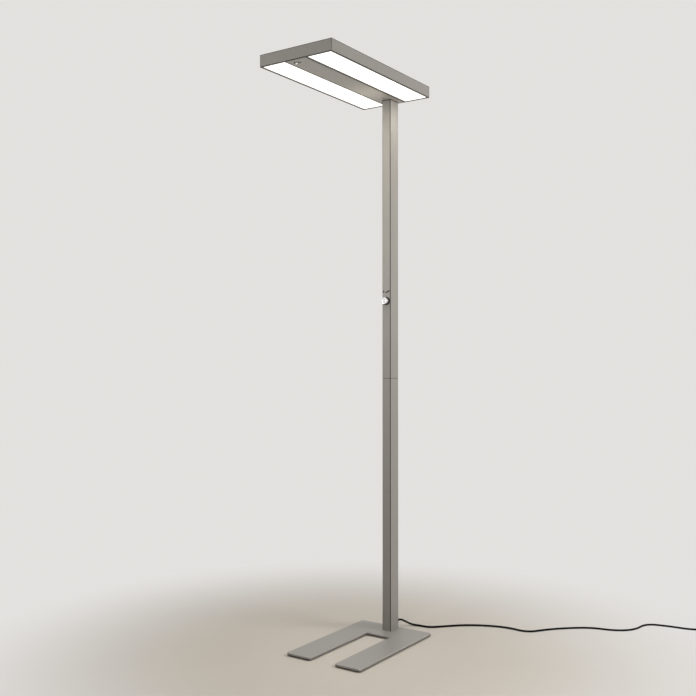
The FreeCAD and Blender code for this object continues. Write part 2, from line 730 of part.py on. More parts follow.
def knob_screw():
    """The grub screw that presses on the shaft's flat."""
    top = DIMMER_HEIGHT - SHAFT_RADIUS + SHAFT_FLAT_DEPTH - SHAFT_GRIP_GAP
    screw = rod(GRUB_RADIUS, (0, grub_y(), top), (0, grub_y(), top - GRUB_LENGTH))
    mouth = Vector(0, grub_y(), top - GRUB_LENGTH)
    return screw.cut(hexagon(GRUB_RADIUS, mouth, GRUB_LENGTH / 2, Vector(0, 0, 1)))


def dimmer_shaft():
    """The steel shaft, with a flat under the knob's hub."""
    start = KNOB_FRONT + SHAFT_TO_KNOB_FRONT + SHAFT_GRIP_GAP
    shaft = rod(SHAFT_RADIUS, dimmer_axis(start), dimmer_axis(PLUNGER_FRONT))
    across = (-SHAFT_RADIUS, SHAFT_RADIUS)
    low = DIMMER_HEIGHT - SHAFT_RADIUS - TOUCH_DEPTH
    flat = block(
        across, (start, HUB_BACK), (low, DIMMER_HEIGHT - SHAFT_RADIUS + SHAFT_FLAT_DEPTH)
    )
    return shaft.cut(flat)


def switch_plunger():
    """The slide in the push switch that the shaft's end presses back."""
    return square_bar(PLUNGER_SIDE / 2, PLUNGER_FRONT, PLUNGER_FRONT + PLUNGER_DEPTH)


# ---------------------------------------------------------------- head: frame and beam
def ribbed_side(wall, tip):
    """The stepped line up a rail's inner side: (distance, height) from lip to lip."""
    line = []
    for low, high in RIBS:
        line += [(wall, low), (tip, low), (tip, high), (wall, high)]
    return line[1:-1]


def rail_section(place):
    """A rail's profile. `place` turns a distance from the outer face and a height to a point."""
    profile = [(0.0, 0.0)] + ribbed_side(RAIL_WALL, RAIL_LIP) + [(0.0, HEAD_HEIGHT)]
    radii = [0.0] * len(profile)
    radii[0] = RAIL_EDGE_RADIUS
    radii[-1] = RAIL_EDGE_RADIUS
    return outline([place(inward, HEAD_BOTTOM + up) for inward, up in profile], radii)


def mitre_wedge(start, end, middle):
    """The wedge of the head's plan that one rail fills, from two corners to the middle line."""
    points = [(x, y, HEAD_BOTTOM) for x, y in (start, end) + middle]
    return upright(outline(points), HEAD_HEIGHT)


def side_rail():
    """The right rail. Its ends are mitred."""
    section = rail_section(lambda inward, z: (HEAD_SIDE - inward, HEAD_FRONT, z))
    bar = section.extrude(Vector(0, HEAD_LENGTH, 0))
    middle = ((0.0, HEAD_BACK - HEAD_SIDE), (0.0, HEAD_FRONT + HEAD_SIDE))
    return bar.common(mitre_wedge((HEAD_SIDE, HEAD_FRONT), (HEAD_SIDE, HEAD_BACK), middle))


def end_rail(end):
    """The front rail (-1) or the back rail (1)."""
    outer = end * HEAD_BACK
    section = rail_section(lambda inward, z: (-HEAD_SIDE, outer - end * inward, z))
    bar = section.extrude(Vector(HEAD_WIDTH, 0, 0))
    middle = ((0.0, outer - end * HEAD_SIDE),)
    return bar.common(mitre_wedge((-HEAD_SIDE, outer), (HEAD_SIDE, outer), middle))


def corner_cleats():
    """L-shaped cleats in the rails' channels, two in each corner of the frame."""
    outer_x = HEAD_SIDE - RAIL_WALL
    outer_y = HEAD_BACK - RAIL_WALL
    cleats = []
    for low, high in (LOWER_CHANNEL, UPPER_CHANNEL):
        bottom = HEAD_BOTTOM + low + JOINT_GAP
        corners = [
            (outer_x, outer_y),
            (outer_x - CLEAT_ARM, outer_y),
            (outer_x - CLEAT_ARM, outer_y - CLEAT_THICKNESS),
            (outer_x - CLEAT_THICKNESS, outer_y - CLEAT_THICKNESS),
            (outer_x - CLEAT_THICKNESS, outer_y - CLEAT_ARM),
            (outer_x, outer_y - CLEAT_ARM),
        ]
        for side in (-1, 1):
            for end in (-1, 1):
                face = outline([(side * x, end * y, bottom) for x, y in corners])
                cleats.append(upright(face, high - low - 2 * JOINT_GAP))
    return group(cleats)


def beam_section():
    """The beam's profile: a channel, open upwards, with the rails' ribs on its outer sides."""
    half = [(BEAM_SIDE, 0.0)] + ribbed_side(BEAM_OUTER_WALL, BEAM_SIDE)[1:]
    half += [
        (BEAM_INNER_WALL, HEAD_HEIGHT),
        (BEAM_INNER_WALL, LEDGE_TOP),
        (BEAM_INNER_WALL - LEDGE_WIDTH, LEDGE_TOP),
        (BEAM_INNER_WALL - LEDGE_WIDTH, LEDGE_TOP - LEDGE_THICKNESS),
        (BEAM_INNER_WALL, LEDGE_TOP - LEDGE_THICKNESS),
        (BEAM_INNER_WALL, BEAM_WEB),
    ]
    other_half = [(-x, up) for x, up in reversed(half)]
    return outline([(x, -BEAM_END, HEAD_BOTTOM + up) for x, up in half + other_half])


def stud_places():
    """Where the threaded studs stand on the beam's web, each with what its nut clamps."""
    ear_middles = (DRIVER_FRONT - EAR_LENGTH / 2, DRIVER_BACK + EAR_LENGTH / 2)
    places = [
        (side * STUD_SPACING / 2, y, EAR_THICKNESS) for side in (-1, 1) for y in ear_middles
    ]
    terminal_middle = (TERMINAL_FRONT + TERMINAL_BACK) / 2
    places.append((0.0, terminal_middle, TERMINAL_HEIGHT / 2))
    return places


def bracket_screw_places():
    """Where the end brackets' screws pass the beam's walls: (side, y, height)."""
    height = HEAD_BOTTOM + sum(UPPER_CHANNEL) / 2
    y = BEAM_END - BRACKET_ARM / 2
    return [(side, end * y, height) for side in (-1, 1) for end in (-1, 1)]


def board_wire_places():
    """Each wire from the driver to a light board: (side, y, height)."""
    lower = (-BOARD_WIRE_PLACE, HEAD_BOTTOM + LOWER_WIRE_HEIGHT)
    upper = (BOARD_WIRE_PLACE, HEAD_BOTTOM + UPPER_WIRE_HEIGHT)
    return [(side, y, height) for side in (-1, 1) for y, height in (lower, upper)]


def through_wall(side, y, height, radius):
    """A cutter through one side wall of the beam."""
    start = side * (BEAM_INNER_WALL - TOUCH_DEPTH)
    return rod(radius, (start, y, height), (side * (BEAM_SIDE + TOUCH_DEPTH), y, height))


def through_web(radius, x, y):
    """A cutter through the beam's web."""
    return rod(
        radius, (x, y, HEAD_BOTTOM - TOUCH_DEPTH), (x, y, HEAD_BOTTOM + BEAM_WEB + TOUCH_DEPTH)
    )


def centre_beam():
    beam = beam_section().extrude(Vector(0, 2 * BEAM_END, 0))
    web_top = HEAD_BOTTOM + BEAM_WEB
    studs = [
        rod(STUD_RADIUS, (x, y, web_top), (x, y, web_top + grip + small_nut_and_end()))
        for x, y, grip in stud_places()
    ]
    cutters = column_screw_holes(HEAD_BOTTOM, web_top)
    cutters.append(cable_slot(HEAD_BOTTOM, BEAM_WEB))
    cutters.append(through_web(SENSOR_SLEEVE_RADIUS + THREAD_GAP, SENSOR_OFFSET, SENSOR_Y))
    cutters.append(through_web(DAYLIGHT_RADIUS + THREAD_GAP, DAYLIGHT_OFFSET, DAYLIGHT_Y))
    cutters.append(through_web(STATUS_RADIUS + THREAD_GAP, STATUS_OFFSET, STATUS_Y))
    for place in bracket_screw_places():
        cutters.append(through_wall(*place, BRACKET_SCREW_RADIUS + THREAD_GAP))
    for place in board_wire_places():
        cutters.append(through_wall(*place, BOARD_WIRE_RADIUS + JOINT_GAP))
    for x, y in cover_screw_places():
        top = HEAD_BOTTOM + LEDGE_TOP
        bottom = top - LEDGE_THICKNESS
        cutters.append(rod(COVER_SCREW_RADIUS + THREAD_GAP, (x, y, bottom), (x, y, top)))
    return fused([beam] + studs).cut(cutters)


def small_nut_and_end():
    """The length of a stud above what it clamps."""
    return SMALL_NUT_THICKNESS + STUD_PAST_NUT


def stud_nuts():
    nuts = []
    for x, y, grip in stud_places():
        seat = Vector(x, y, HEAD_BOTTOM + BEAM_WEB + grip)
        nut = hexagon(SMALL_NUT_ACROSS_FLATS, seat, SMALL_NUT_THICKNESS, Vector(0, 0, 1))
        bore = rod(STUD_RADIUS + THREAD_GAP, seat, seat + Vector(0, 0, SMALL_NUT_THICKNESS))
        nuts.append(nut.cut(bore))
    return group(nuts)


def cover_screw_places():
    x = BEAM_INNER_WALL - LEDGE_WIDTH / 2
    end = BEAM_END - COVER_SCREW_INSET
    return [(side * x, y) for side in (-1, 1) for y in (-end, 0.0, end)]


def cover_screw(x, y, gap):
    """A screw that holds the top cover on the beam's ledges."""
    mouth = Vector(x, y, TOTAL_HEIGHT)
    radii = (COVER_SCREW_HEAD_RADIUS, COVER_SCREW_RADIUS)
    return countersunk(mouth, Vector(0, 0, -1), *radii, COVER_SCREW_LENGTH, gap)


def cover_screws():
    depth = COVER_SCREW_RADIUS / 2
    screws = []
    for x, y in cover_screw_places():
        mouth = Vector(x, y, TOTAL_HEIGHT)
        socket = hexagon(COVER_SCREW_RADIUS * math.sqrt(3) / 2, mouth, depth, Vector(0, 0, -1))
        screws.append(cover_screw(x, y, 0.0).cut(socket))
    return group(screws)


def top_cover():
    """The sheet that closes the beam's channel, between its upper lips."""
    side = BEAM_INNER_WALL - JOINT_GAP
    cover = block(
        (-side, side), (-BEAM_END, BEAM_END), (TOTAL_HEIGHT - COVER_THICKNESS, TOTAL_HEIGHT)
    )
    return cover.cut([cover_screw(x, y, THREAD_GAP) for x, y in cover_screw_places()])


def end_brackets():
    """U-shaped brackets in the end rails' upper channels. Their arms hold the beam's walls."""
    low, high = UPPER_CHANNEL
    bottom = HEAD_BOTTOM + low + JOINT_GAP
    outer_y = HEAD_BACK - RAIL_WALL
    arm_end = BEAM_END - BRACKET_ARM
    outer_x = BEAM_INNER_WALL
    inner_x = outer_x - CLEAT_THICKNESS
    corners = [
        (-outer_x, outer_y),
        (-outer_x, arm_end),
        (-inner_x, arm_end),
        (-inner_x, outer_y - CLEAT_THICKNESS),
        (inner_x, outer_y - CLEAT_THICKNESS),
        (inner_x, arm_end),
        (outer_x, arm_end),
        (outer_x, outer_y),
    ]
    brackets = []
    for end in (-1, 1):
        face = outline([(x, end * y, bottom) for x, y in corners])
        bracket = upright(face, high - low - 2 * JOINT_GAP)
        for side, y, height in bracket_screw_places():
            if y * end > 0:
                start = (side * (inner_x - TOUCH_DEPTH), y, height)
                hole = rod(BRACKET_SCREW_RADIUS + THREAD_GAP, start, (side * BEAM_SIDE, y, height))
                bracket = bracket.cut(hole)
        brackets.append(bracket)
    return group(brackets)


def bracket_screws():
    screws = []
    for side, y, height in bracket_screw_places():
        outward = Vector(side, 0, 0)
        seat_x = BEAM_INNER_WALL - CLEAT_THICKNESS
        seat = Vector(side * seat_x, y, height)
        tip = Vector(side * (BEAM_OUTER_WALL + BRACKET_SCREW_TIP), y, height)
        crown = seat - outward * BRACKET_SCREW_HEAD_HEIGHT
        head = rod(BRACKET_SCREW_HEAD_RADIUS, seat, crown)
        shank = rod(BRACKET_SCREW_RADIUS, seat, tip)
        socket = hexagon(BRACKET_SCREW_RADIUS, crown, BRACKET_SCREW_HEAD_HEIGHT / 2, outward)
        screws.append(fused([head, shank]).cut(socket))
    return group(screws)


def head_plate():
    """The steel plate on the beam's web that spreads the load of the column's screws."""
    bottom = HEAD_BOTTOM + BEAM_WEB
    top = bottom + HEAD_PLATE_THICKNESS
    face = rectangle(HEAD_PLATE_WIDTH, HEAD_PLATE_LENGTH, (0.0, COLUMN_Y), bottom)
    holes = column_screw_holes(bottom, top)
    plate = upright(face, HEAD_PLATE_THICKNESS)
    return plate.cut(holes + [cable_slot(bottom, HEAD_PLATE_THICKNESS)])


def head_screws():
    """Socket-head screws from inside the beam into the column's ports."""
    seat_height = HEAD_BOTTOM + BEAM_WEB + HEAD_PLATE_THICKNESS
    down = Vector(0, 0, -1)
    screws = []
    for x, y in PORT_PLACES:
        seat = Vector(x, y, seat_height)
        crown = seat - down * SOCKET_HEAD_HEIGHT
        head = rod(COLUMN_SCREW_HEAD_RADIUS, seat, crown)
        shank = rod(COLUMN_SCREW_RADIUS, seat, (x, y, COLUMN_TOP - COLUMN_SCREW_BITE))
        socket = hexagon(SOCKET_RADIUS * math.sqrt(3), crown, SOCKET_DEPTH, down)
        screws.append(fused([head, shank]).cut(socket))
    return group(screws)


# ---------------------------------------------------------------- head: light
def sheet(seat, thickness):
    """A sheet that slides in the grooves on the head's right side."""
    bottom = HEAD_BOTTOM + seat
    return block(
        (SHEET_INNER, SHEET_OUTER), (-SHEET_END, SHEET_END), (bottom, bottom + thickness)
    )


def lower_diffuser():
    return sheet(LIP_THICKNESS, PANEL_THICKNESS)


def upper_diffuser():
    return sheet(UPPER_SEAT, PANEL_THICKNESS)


def led_tray():
    return sheet(TRAY_SEAT, TRAY_THICKNESS)


def led_board(face):
    """The right light board below the tray (-1) or above it (1), with its LEDs and connector."""
    back = HEAD_BOTTOM + TRAY_SEAT
    wire_y = -BOARD_WIRE_PLACE
    if face > 0:
        back += TRAY_THICKNESS
        wire_y = BOARD_WIRE_PLACE
    front = back + face * BOARD_THICKNESS
    width = (BOARD_INNER, BOARD_INNER + BOARD_WIDTH)
    length = (-BOARD_LENGTH / 2, BOARD_LENGTH / 2)
    pieces = [block(width, length, ordered(back, front))]
    pitch = BOARD_LENGTH / LEDS_PER_ROW
    for row in range(LED_ROWS):
        x = BOARD_MIDDLE + (row - (LED_ROWS - 1) / 2) * LED_ROW_SPACING
        for place in range(LEDS_PER_ROW):
            y = length[0] + (place + 0.5) * pitch
            pieces.append(
                block(
                    (x - LED_SIDE / 2, x + LED_SIDE / 2),
                    (y - LED_SIDE / 2, y + LED_SIDE / 2),
                    ordered(front, front + face * LED_HEIGHT),
                )
            )
    pieces.append(
        block(
            (CONNECTOR_INNER, CONNECTOR_INNER + CONNECTOR_WIDTH),
            (wire_y - CONNECTOR_LENGTH / 2, wire_y + CONNECTOR_LENGTH / 2),
            ordered(front, front + face * CONNECTOR_HEIGHT),
        )
    )
    return fused(pieces)


def ordered(a, b):
    """The lower value first."""
    return (min(a, b), max(a, b))


def board_wires():
    """Straight wires from the driver's sides to the boards' connectors."""
    wires = []
    for side, y, height in board_wire_places():
        start = (side * DRIVER_WIDTH / 2, y, height)
        wires.append(rod(BOARD_WIRE_RADIUS, start, (side * CONNECTOR_INNER, y, height)))
    return group(wires)


# ---------------------------------------------------------------- head: electrics
def led_driver():
    bottom = HEAD_BOTTOM + BEAM_WEB
    side = DRIVER_WIDTH / 2
    case = block((-side, side), (DRIVER_FRONT, DRIVER_BACK), (bottom, bottom + DRIVER_HEIGHT))
    top = bottom + DRIVER_HEIGHT
    case = case.makeFillet(
        DRIVER_EDGE_RADIUS, [edge for edge in case.Edges if edge.BoundBox.ZMin > top - TINY]
    )
    ears = block(
        (-side, side),
        (DRIVER_FRONT - EAR_LENGTH, DRIVER_BACK + EAR_LENGTH),
        (bottom, bottom + EAR_THICKNESS),
    )
    holes = [
        rod(STUD_RADIUS + JOINT_GAP, (x, y, bottom), (x, y, bottom + EAR_THICKNESS))
        for x, y, grip in stud_places()
        if grip == EAR_THICKNESS
    ]
    return fused([case, ears]).cut(holes)


def terminal_block():
    """A three-pole terminal block with a screw well over each pole, on one stud."""
    bottom = HEAD_BOTTOM + BEAM_WEB
    top = bottom + TERMINAL_HEIGHT
    side = TERMINAL_WIDTH / 2
    body = block((-side, side), (TERMINAL_FRONT, TERMINAL_BACK), (bottom, top))
    middle_y = (TERMINAL_FRONT + TERMINAL_BACK) / 2
    clamp_top = bottom + TERMINAL_HEIGHT / 2
    cutters = [
        rod(STUD_RADIUS + JOINT_GAP, (0, middle_y, bottom), (0, middle_y, clamp_top)),
        rod(TERMINAL_STUD_WELL_RADIUS, (0, middle_y, clamp_top), (0, middle_y, top)),
    ]
    pitch = TERMINAL_WIDTH / TERMINAL_POLES
    well_bottom = top - TERMINAL_WELL_DEPTH
    for pole in range(TERMINAL_POLES):
        x = -side + (pole + 0.5) * pitch
        for y in (TERMINAL_FRONT + pitch / 2, TERMINAL_BACK - pitch / 2):
            cutters.append(rod(TERMINAL_WELL_RADIUS, (x, y, well_bottom), (x, y, top)))
    return body.cut(cutters)


def driver_lead():
    """The short lead from the terminal block to the driver."""
    height = HEAD_BOTTOM + LEAD_ENTRY_HEIGHT
    return rod(INNER_LEAD_RADIUS, (0, DRIVER_BACK, height), (0, TERMINAL_FRONT, height))


# ---------------------------------------------------------------- head: sensors
def sensor_bezel():
    """The presence sensor's ring, with the sleeve that carries its board."""
    down = Vector(0, 0, -1)
    centre = Vector(SENSOR_OFFSET, SENSOR_Y, HEAD_BOTTOM)
    profile = [
        (SENSOR_BORE_RADIUS, SENSOR_FLANGE_THICKNESS),
        (SENSOR_FLANGE_RADIUS - SENSOR_FLANGE_THICKNESS / 2, SENSOR_FLANGE_THICKNESS),
        (SENSOR_FLANGE_RADIUS, SENSOR_FLANGE_THICKNESS / 2),
        (SENSOR_FLANGE_RADIUS, 0.0),
        (SENSOR_SLEEVE_RADIUS, 0.0),
        (SENSOR_SLEEVE_RADIUS, -SENSOR_BOARD_HEIGHT),
        (SENSOR_BORE_RADIUS, -SENSOR_BOARD_HEIGHT),
    ]
    return turned(profile, centre, down)


def sensor_lens():
    """The domed lens in the bezel: a half ball on a short collar."""
    centre = Vector(SENSOR_OFFSET, SENSOR_Y, HEAD_BOTTOM - LENS_DROP + LENS_RADIUS)
    ball = Part.makeSphere(LENS_RADIUS, centre)
    collar_top = centre + Vector(0, 0, BEAM_WEB)
    reach = LENS_RADIUS + TOUCH_DEPTH
    upper = block(
        (centre.x - reach, centre.x + reach),
        (centre.y - reach, centre.y + reach),
        (centre.z, centre.z + reach),
    )
    return fused([ball.cut(upper), rod(LENS_RADIUS, centre, collar_top)])


def daylight_sensor():
    """The small dark window that reads the room's light, from its rim to the board."""
    centre = Vector(DAYLIGHT_OFFSET, DAYLIGHT_Y, HEAD_BOTTOM)
    rim = SENSOR_FLANGE_THICKNESS / 2
    profile = [
        (0.0, rim / 2),
        (DAYLIGHT_RADIUS - rim, rim / 2),
        (DAYLIGHT_RADIUS, rim),
        (DAYLIGHT_FLANGE_RADIUS - rim, rim),
        (DAYLIGHT_FLANGE_RADIUS, 0.0),
        (DAYLIGHT_RADIUS, 0.0),
        (DAYLIGHT_RADIUS, -SENSOR_BOARD_HEIGHT),
        (0.0, -SENSOR_BOARD_HEIGHT),
    ]
    return turned(profile, centre, Vector(0, 0, -1))


def status_light():
    """The light pipe of the status light."""
    bottom = (STATUS_OFFSET, STATUS_Y, HEAD_BOTTOM)
    return rod(STATUS_RADIUS, bottom, (STATUS_OFFSET, STATUS_Y, HEAD_BOTTOM + SENSOR_BOARD_HEIGHT))


def sensor_board():
    """The sensors' circuit board, with the detector's can below and a connector on top."""
    bottom = HEAD_BOTTOM + SENSOR_BOARD_HEIGHT
    top = bottom + BOARD_THICKNESS
    front = SENSOR_Y - SENSOR_FLANGE_RADIUS
    back = front + SENSOR_BOARD_LENGTH
    side = SENSOR_BOARD_WIDTH / 2
    board = block((-side, side), (front, back), (bottom, top))
    can = rod(
        SENSOR_CAN_RADIUS,
        (SENSOR_OFFSET, SENSOR_Y, bottom - SENSOR_CAN_HEIGHT / 2),
        (SENSOR_OFFSET, SENSOR_Y, bottom),
    )
    connector = block(
        (-CONNECTOR_LENGTH / 2, CONNECTOR_LENGTH / 2),
        (back - CONNECTOR_WIDTH, back),
        (top, top + CONNECTOR_HEIGHT),
    )
    return fused([board, can, connector])


def sensor_lead():
    """The lead from the sensors' board to the driver's front end."""
    height = HEAD_BOTTOM + SENSOR_BOARD_HEIGHT + BOARD_THICKNESS + CONNECTOR_HEIGHT / 2
    start_y = SENSOR_Y - SENSOR_FLANGE_RADIUS + SENSOR_BOARD_LENGTH
    return rod(CONTROL_LEAD_RADIUS, (0, start_y, height), (0, DRIVER_FRONT, height))


# ---------------------------------------------------------------- leads, cord and plug
def path_edges(points, reaches):
    """Straight runs joined by tangent arcs, and the arcs' radii."""
    corners = [Vector(*point) for point in points]
    edges = []
    radii = []
    here = corners[0]
    for i in range(1, len(corners) - 1):
        start, middle, end, radius = corner_arc(
            corners[i - 1], corners[i], corners[i + 1], reaches[i - 1]
        )
        edges.append(Part.LineSegment(here, start).toShape())
        edges.append(Part.Arc(start, middle, end).toShape())
        radii.append(radius)
        here = end
    edges.append(Part.LineSegment(here, corners[-1]).toShape())
    return edges, radii


def tube(radius, edges, start, way):
    """A round tube along a smooth path that starts at `start` and runs along `way`."""
    ring = Part.Wire(Part.makeCircle(radius, start, way))
    path = Part.Wire(edges)
    return path.makePipeShell([ring], True, False)


def report_tube(name, solid, radius, edges):
    """Prints how a tube's volume compares with its section times its length."""
    length = sum(edge.Length for edge in edges)
    share = solid.Volume / (math.pi * radius**2 * length)
    print(f"{name}: length {length:.1f} mm, volume over section times length {share:.4f}")


def route_reaches(points):
    """From each corner of a free route to where its arc starts."""
    corners = [Vector(*point) for point in points]
    runs = [(b - a).Length for a, b in zip(corners, corners[1:])]
    return [ROUTE_ARC_SHARE * min(a, b) for a, b in zip(runs, runs[1:])]


def mains_cord():
    edges, radii = path_edges(ROUTE, route_reaches(ROUTE))
    start = Vector(*ROUTE[0])
    cord = tube(CORD_RADIUS, edges, start, Vector(*ROUTE[1]) - start)
    print("mains_cord radii:", ", ".join(f"{radius:.0f}" for radius in radii))
    report_tube("mains_cord", cord, CORD_RADIUS, edges)
    return cord


def bend_reach(points, i, radius):
    """From corner i to where an arc of `radius` starts."""
    before, corner, after = (Vector(*point) for point in points[i - 1 : i + 2])
    return radius * math.tan((corner - before).getAngle(after - corner) / 2)


def lead_along(name, points, radius, bend):
    """A lead that the lamp holds all the way, with one bend radius."""
    reaches = [bend_reach(points, i, bend) for i in range(1, len(points) - 1)]
    edges, radii = path_edges(points, reaches)
    start = Vector(*points[0])
    lead = tube(radius, edges, start, Vector(*points[1]) - start)
    report_tube(name, lead, radius, edges)
    return lead


def inner_lead():
    """From the gland up the column and into the terminal block."""
    height = HEAD_BOTTOM + LEAD_ENTRY_HEIGHT
    points = [
        (0.0, GLAND_INNER_END, GLAND_HEIGHT),
        (0.0, COLUMN_Y, GLAND_HEIGHT),
        (INNER_LEAD_OFFSET, COLUMN_Y, INNER_LEAD_SLANT_TOP),
        (INNER_LEAD_OFFSET, COLUMN_Y, height),
        (INNER_LEAD_OFFSET, TERMINAL_BACK, height),
    ]
    return lead_along("inner_lead", points, INNER_LEAD_RADIUS, INNER_LEAD_BEND)


def control_lead():
    """From the dimmer up the column and into the driver."""
    height = HEAD_BOTTOM + CONTROL_ENTRY_HEIGHT
    start_y = (DIMMER_FRONT + DIMMER_BACK) / 2
    start_height = DIMMER_HEIGHT + DIMMER_BODY_HEIGHT / 2
    lead_y = COLUMN_Y - CONTROL_LEAD_SETBACK
    side_y = (lead_y + TERMINAL_BACK) / 2
    points = [
        (0.0, start_y, start_height),
        (0.0, start_y, start_height + CONTROL_LEAD_BEND),
        (CONTROL_LEAD_OFFSET, lead_y, start_height + CONTROL_LEAD_RISE),
        (CONTROL_LEAD_OFFSET, lead_y, height),
        (CONTROL_ENTRY_OFFSET, side_y, height),
        (CONTROL_ENTRY_OFFSET, DRIVER_BACK, height),
    ]
    return lead_along("control_lead", points, CONTROL_LEAD_RADIUS, CONTROL_LEAD_BEND)


def ringed_boot(root, tip, root_radius, tip_radius, rings):
    """A bending relief: a taper with grooves round it."""
    way = tip - root
    boot = taper(root_radius, tip_radius, root, tip)
    step = way / (rings + 1)
    half_width = way.normalize() * (GLAND_RING_WIDTH / 2)
    for ring in range(1, rings + 1):
        middle = root + step * ring
        core = root_radius + (tip_radius - root_radius) * ring / (rings + 1) - GLAND_RING_DEPTH
        start = middle - half_width
        end = middle + half_width
        boot = boot.cut(rod(root_radius, start, end).cut(rod(core, start, end)))
    return boot


def cord_gland():
    """The strain relief in the column's back: snap collar, flange and bending relief."""
    wall = Vector(0, COLUMN_BACK, GLAND_HEIGHT)
    collar = rod(GLAND_SNAP_RADIUS, (0, GLAND_INNER_END, GLAND_HEIGHT), wall)
    root = wall + BACKWARDS * GLAND_FLANGE_THICKNESS
    flange = rod(GLAND_FLANGE_RADIUS, wall, root)
    tip = Vector(0, GLAND_TIP, GLAND_HEIGHT)
    boot = ringed_boot(root, tip, GLAND_BOOT_ROOT_RADIUS, GLAND_BOOT_TIP_RADIUS, GLAND_RINGS)
    return fused([collar, flange, boot])


def coil_radius(turn):
    """How far the middle line is from the coil's own centre: in to half way, then out."""
    return COIL_INNER_RADIUS + COIL_PITCH * abs(turn - COIL_TURNS / 2)


def coil_point(turn):
    """A point of the coil's middle line and its direction, about the coil's own centre."""
    middle = COIL_TURNS / 2
    angle = 2 * math.pi * turn
    radius = coil_radius(turn)
    growth = COIL_PITCH * ((turn > middle) - (turn < middle))
    climbed = min(max((turn - middle) / COIL_CLIMB_TURNS + 0.5, 0.0), 1.0)
    height = COIL_PITCH * (1 - math.cos(math.pi * climbed)) / 2
    climb = COIL_PITCH * math.pi / 2 * math.sin(math.pi * climbed) / COIL_CLIMB_TURNS
    outward = Vector(math.sin(angle), math.cos(angle), 0)
    along = Vector(math.cos(angle), -math.sin(angle), 0)
    way = outward * growth + along * (2 * math.pi * radius) + Vector(0, 0, climb)
    return outward * radius + Vector(0, 0, height), way.normalize()


def coil_placement():
    """Sets the coil so that its first end meets the route's last point, in line with it."""
    end = Vector(*ROUTE[-1])
    way = (end - Vector(*ROUTE[-2])).normalize()
    first_point, first_way = coil_point(0)
    turn = math.degrees(math.atan2(way.y, way.x) - math.atan2(first_way.y, first_way.x))
    rotation = FreeCAD.Rotation(Vector(0, 0, 1), turn)
    start = end + way * COIL_WAY_IN
    return FreeCAD.Placement(start - rotation.multVec(first_point), rotation)


def biarc(start, start_way, end, end_way):
    """Two arcs that join two points, each with its direction, in one smooth line."""
    span = end - start
    ways = start_way + end_way
    bend = 2 * (1 - start_way.dot(end_way))
    along = span.dot(ways)
    reach = (math.sqrt(along**2 + bend * span.dot(span)) - along) / bend
    first_corner = start + start_way * reach
    second_corner = end - end_way * reach
    joint = (first_corner + second_corner) / 2
    arcs = []
    for before, corner, after in ((start, first_corner, joint), (joint, second_corner, end)):
        first, middle, last, _ = corner_arc(before, corner, after, reach)
        arcs.append(Part.Arc(first, middle, last).toShape())
    return arcs


def coil_edges():
    """The coil's middle line: a straight end, biarcs of a quarter turn, a straight end."""
    count = round(COIL_TURNS * COIL_STEPS_PER_TURN)
    stations = [coil_point(i / COIL_STEPS_PER_TURN) for i in range(count + 1)]
    first_point, first_way = stations[0]
    last_point, last_way = stations[-1]
    edges = [Part.LineSegment(first_point - first_way * COIL_WAY_IN, first_point).toShape()]
    for (start, start_way), (end, end_way) in zip(stations, stations[1:]):
        edges += biarc(start, start_way, end, end_way)
    end = last_point + last_way * COIL_WAY_OUT
    edges.append(Part.LineSegment(last_point, end).toShape())
    return edges


def least_coil_gap(edges):
    """The least distance between the tube's own turns, measured on points of its middle line."""
    points = []
    along = 0.0
    for edge in edges:
        count = max(2, math.ceil(edge.Length))
        steps = edge.discretize(count + 1)
        spacing = edge.Length / count
        points += [(step, along + i * spacing) for i, step in enumerate(steps[:-1])]
        along += edge.Length
    half_round = math.pi * COIL_INNER_RADIUS
    gaps = [
        (a - b).Length
        for i, (a, place_a) in enumerate(points)
        for b, place_b in points[i:]
        if place_b - place_a > half_round
    ]
    return min(gaps) - 2 * CORD_RADIUS


def cord_coil():
    edges = coil_edges()
    first_point, first_way = coil_point(0)
    coil = tube(CORD_RADIUS, edges, first_point - first_way * COIL_WAY_IN, first_way)
    print(f"cord_coil least gap between turns: {least_coil_gap(edges):.2f} mm")
    report_tube("cord_coil", coil, CORD_RADIUS, edges)
    coil.Placement = coil_placement()
    return coil


def coil_tie():
    """A strap round the four strands that lie two by two a quarter turn from the start."""
    outward = coil_point(TIE_PLACE_TURNS)[0]
    outward.z = 0
    outward.normalize()
    along = Vector(0, 0, 1).cross(outward)
    middle_radius = (coil_radius(TIE_PLACE_TURNS) + coil_radius(TIE_PLACE_TURNS + 1)) / 2
    centre = outward * middle_radius + Vector(0, 0, COIL_PITCH / 2)
    hole = COIL_PITCH / 2 + CORD_RADIUS + TIE_GAP
    sections = []
    rings = ((hole + TIE_THICKNESS, TIE_CORNER_RADIUS + TIE_THICKNESS), (hole, TIE_CORNER_RADIUS))
    for half, radius in rings:
        points = []
        for across, up in ((-1, -1), (1, -1), (1, 1), (-1, 1)):
            corner = centre + outward * (across * half) + Vector(0, 0, up * half)
            points.append(corner - along * (TIE_WIDTH / 2))
        sections.append(outline(points, radius).extrude(along * TIE_WIDTH))
    tie = sections[0].cut(sections[1])
    tie.Placement = coil_placement()
    return tie


def plug_placement():
    """Sets the plug on the coil's last end. In its own frame the cord comes in along +X."""
    last_point, last_way = coil_point(COIL_TURNS)
    coil = coil_placement()
    tip = coil.multVec(last_point + last_way * COIL_WAY_OUT)
    way = coil.Rotation.multVec(last_way)
    turn = math.degrees(math.atan2(way.y, way.x))
    rotation = FreeCAD.Rotation(Vector(0, 0, 1), turn)
    centre = tip + way * (PLUG_BOOT_LENGTH + PLUG_RADIUS)
    return FreeCAD.Placement(Vector(centre.x, centre.y, 0), rotation)


def plug_axis_height():
    """The cord's height where it meets the plug, which lies on its back."""
    return ROUTE[-1][2] + COIL_PITCH


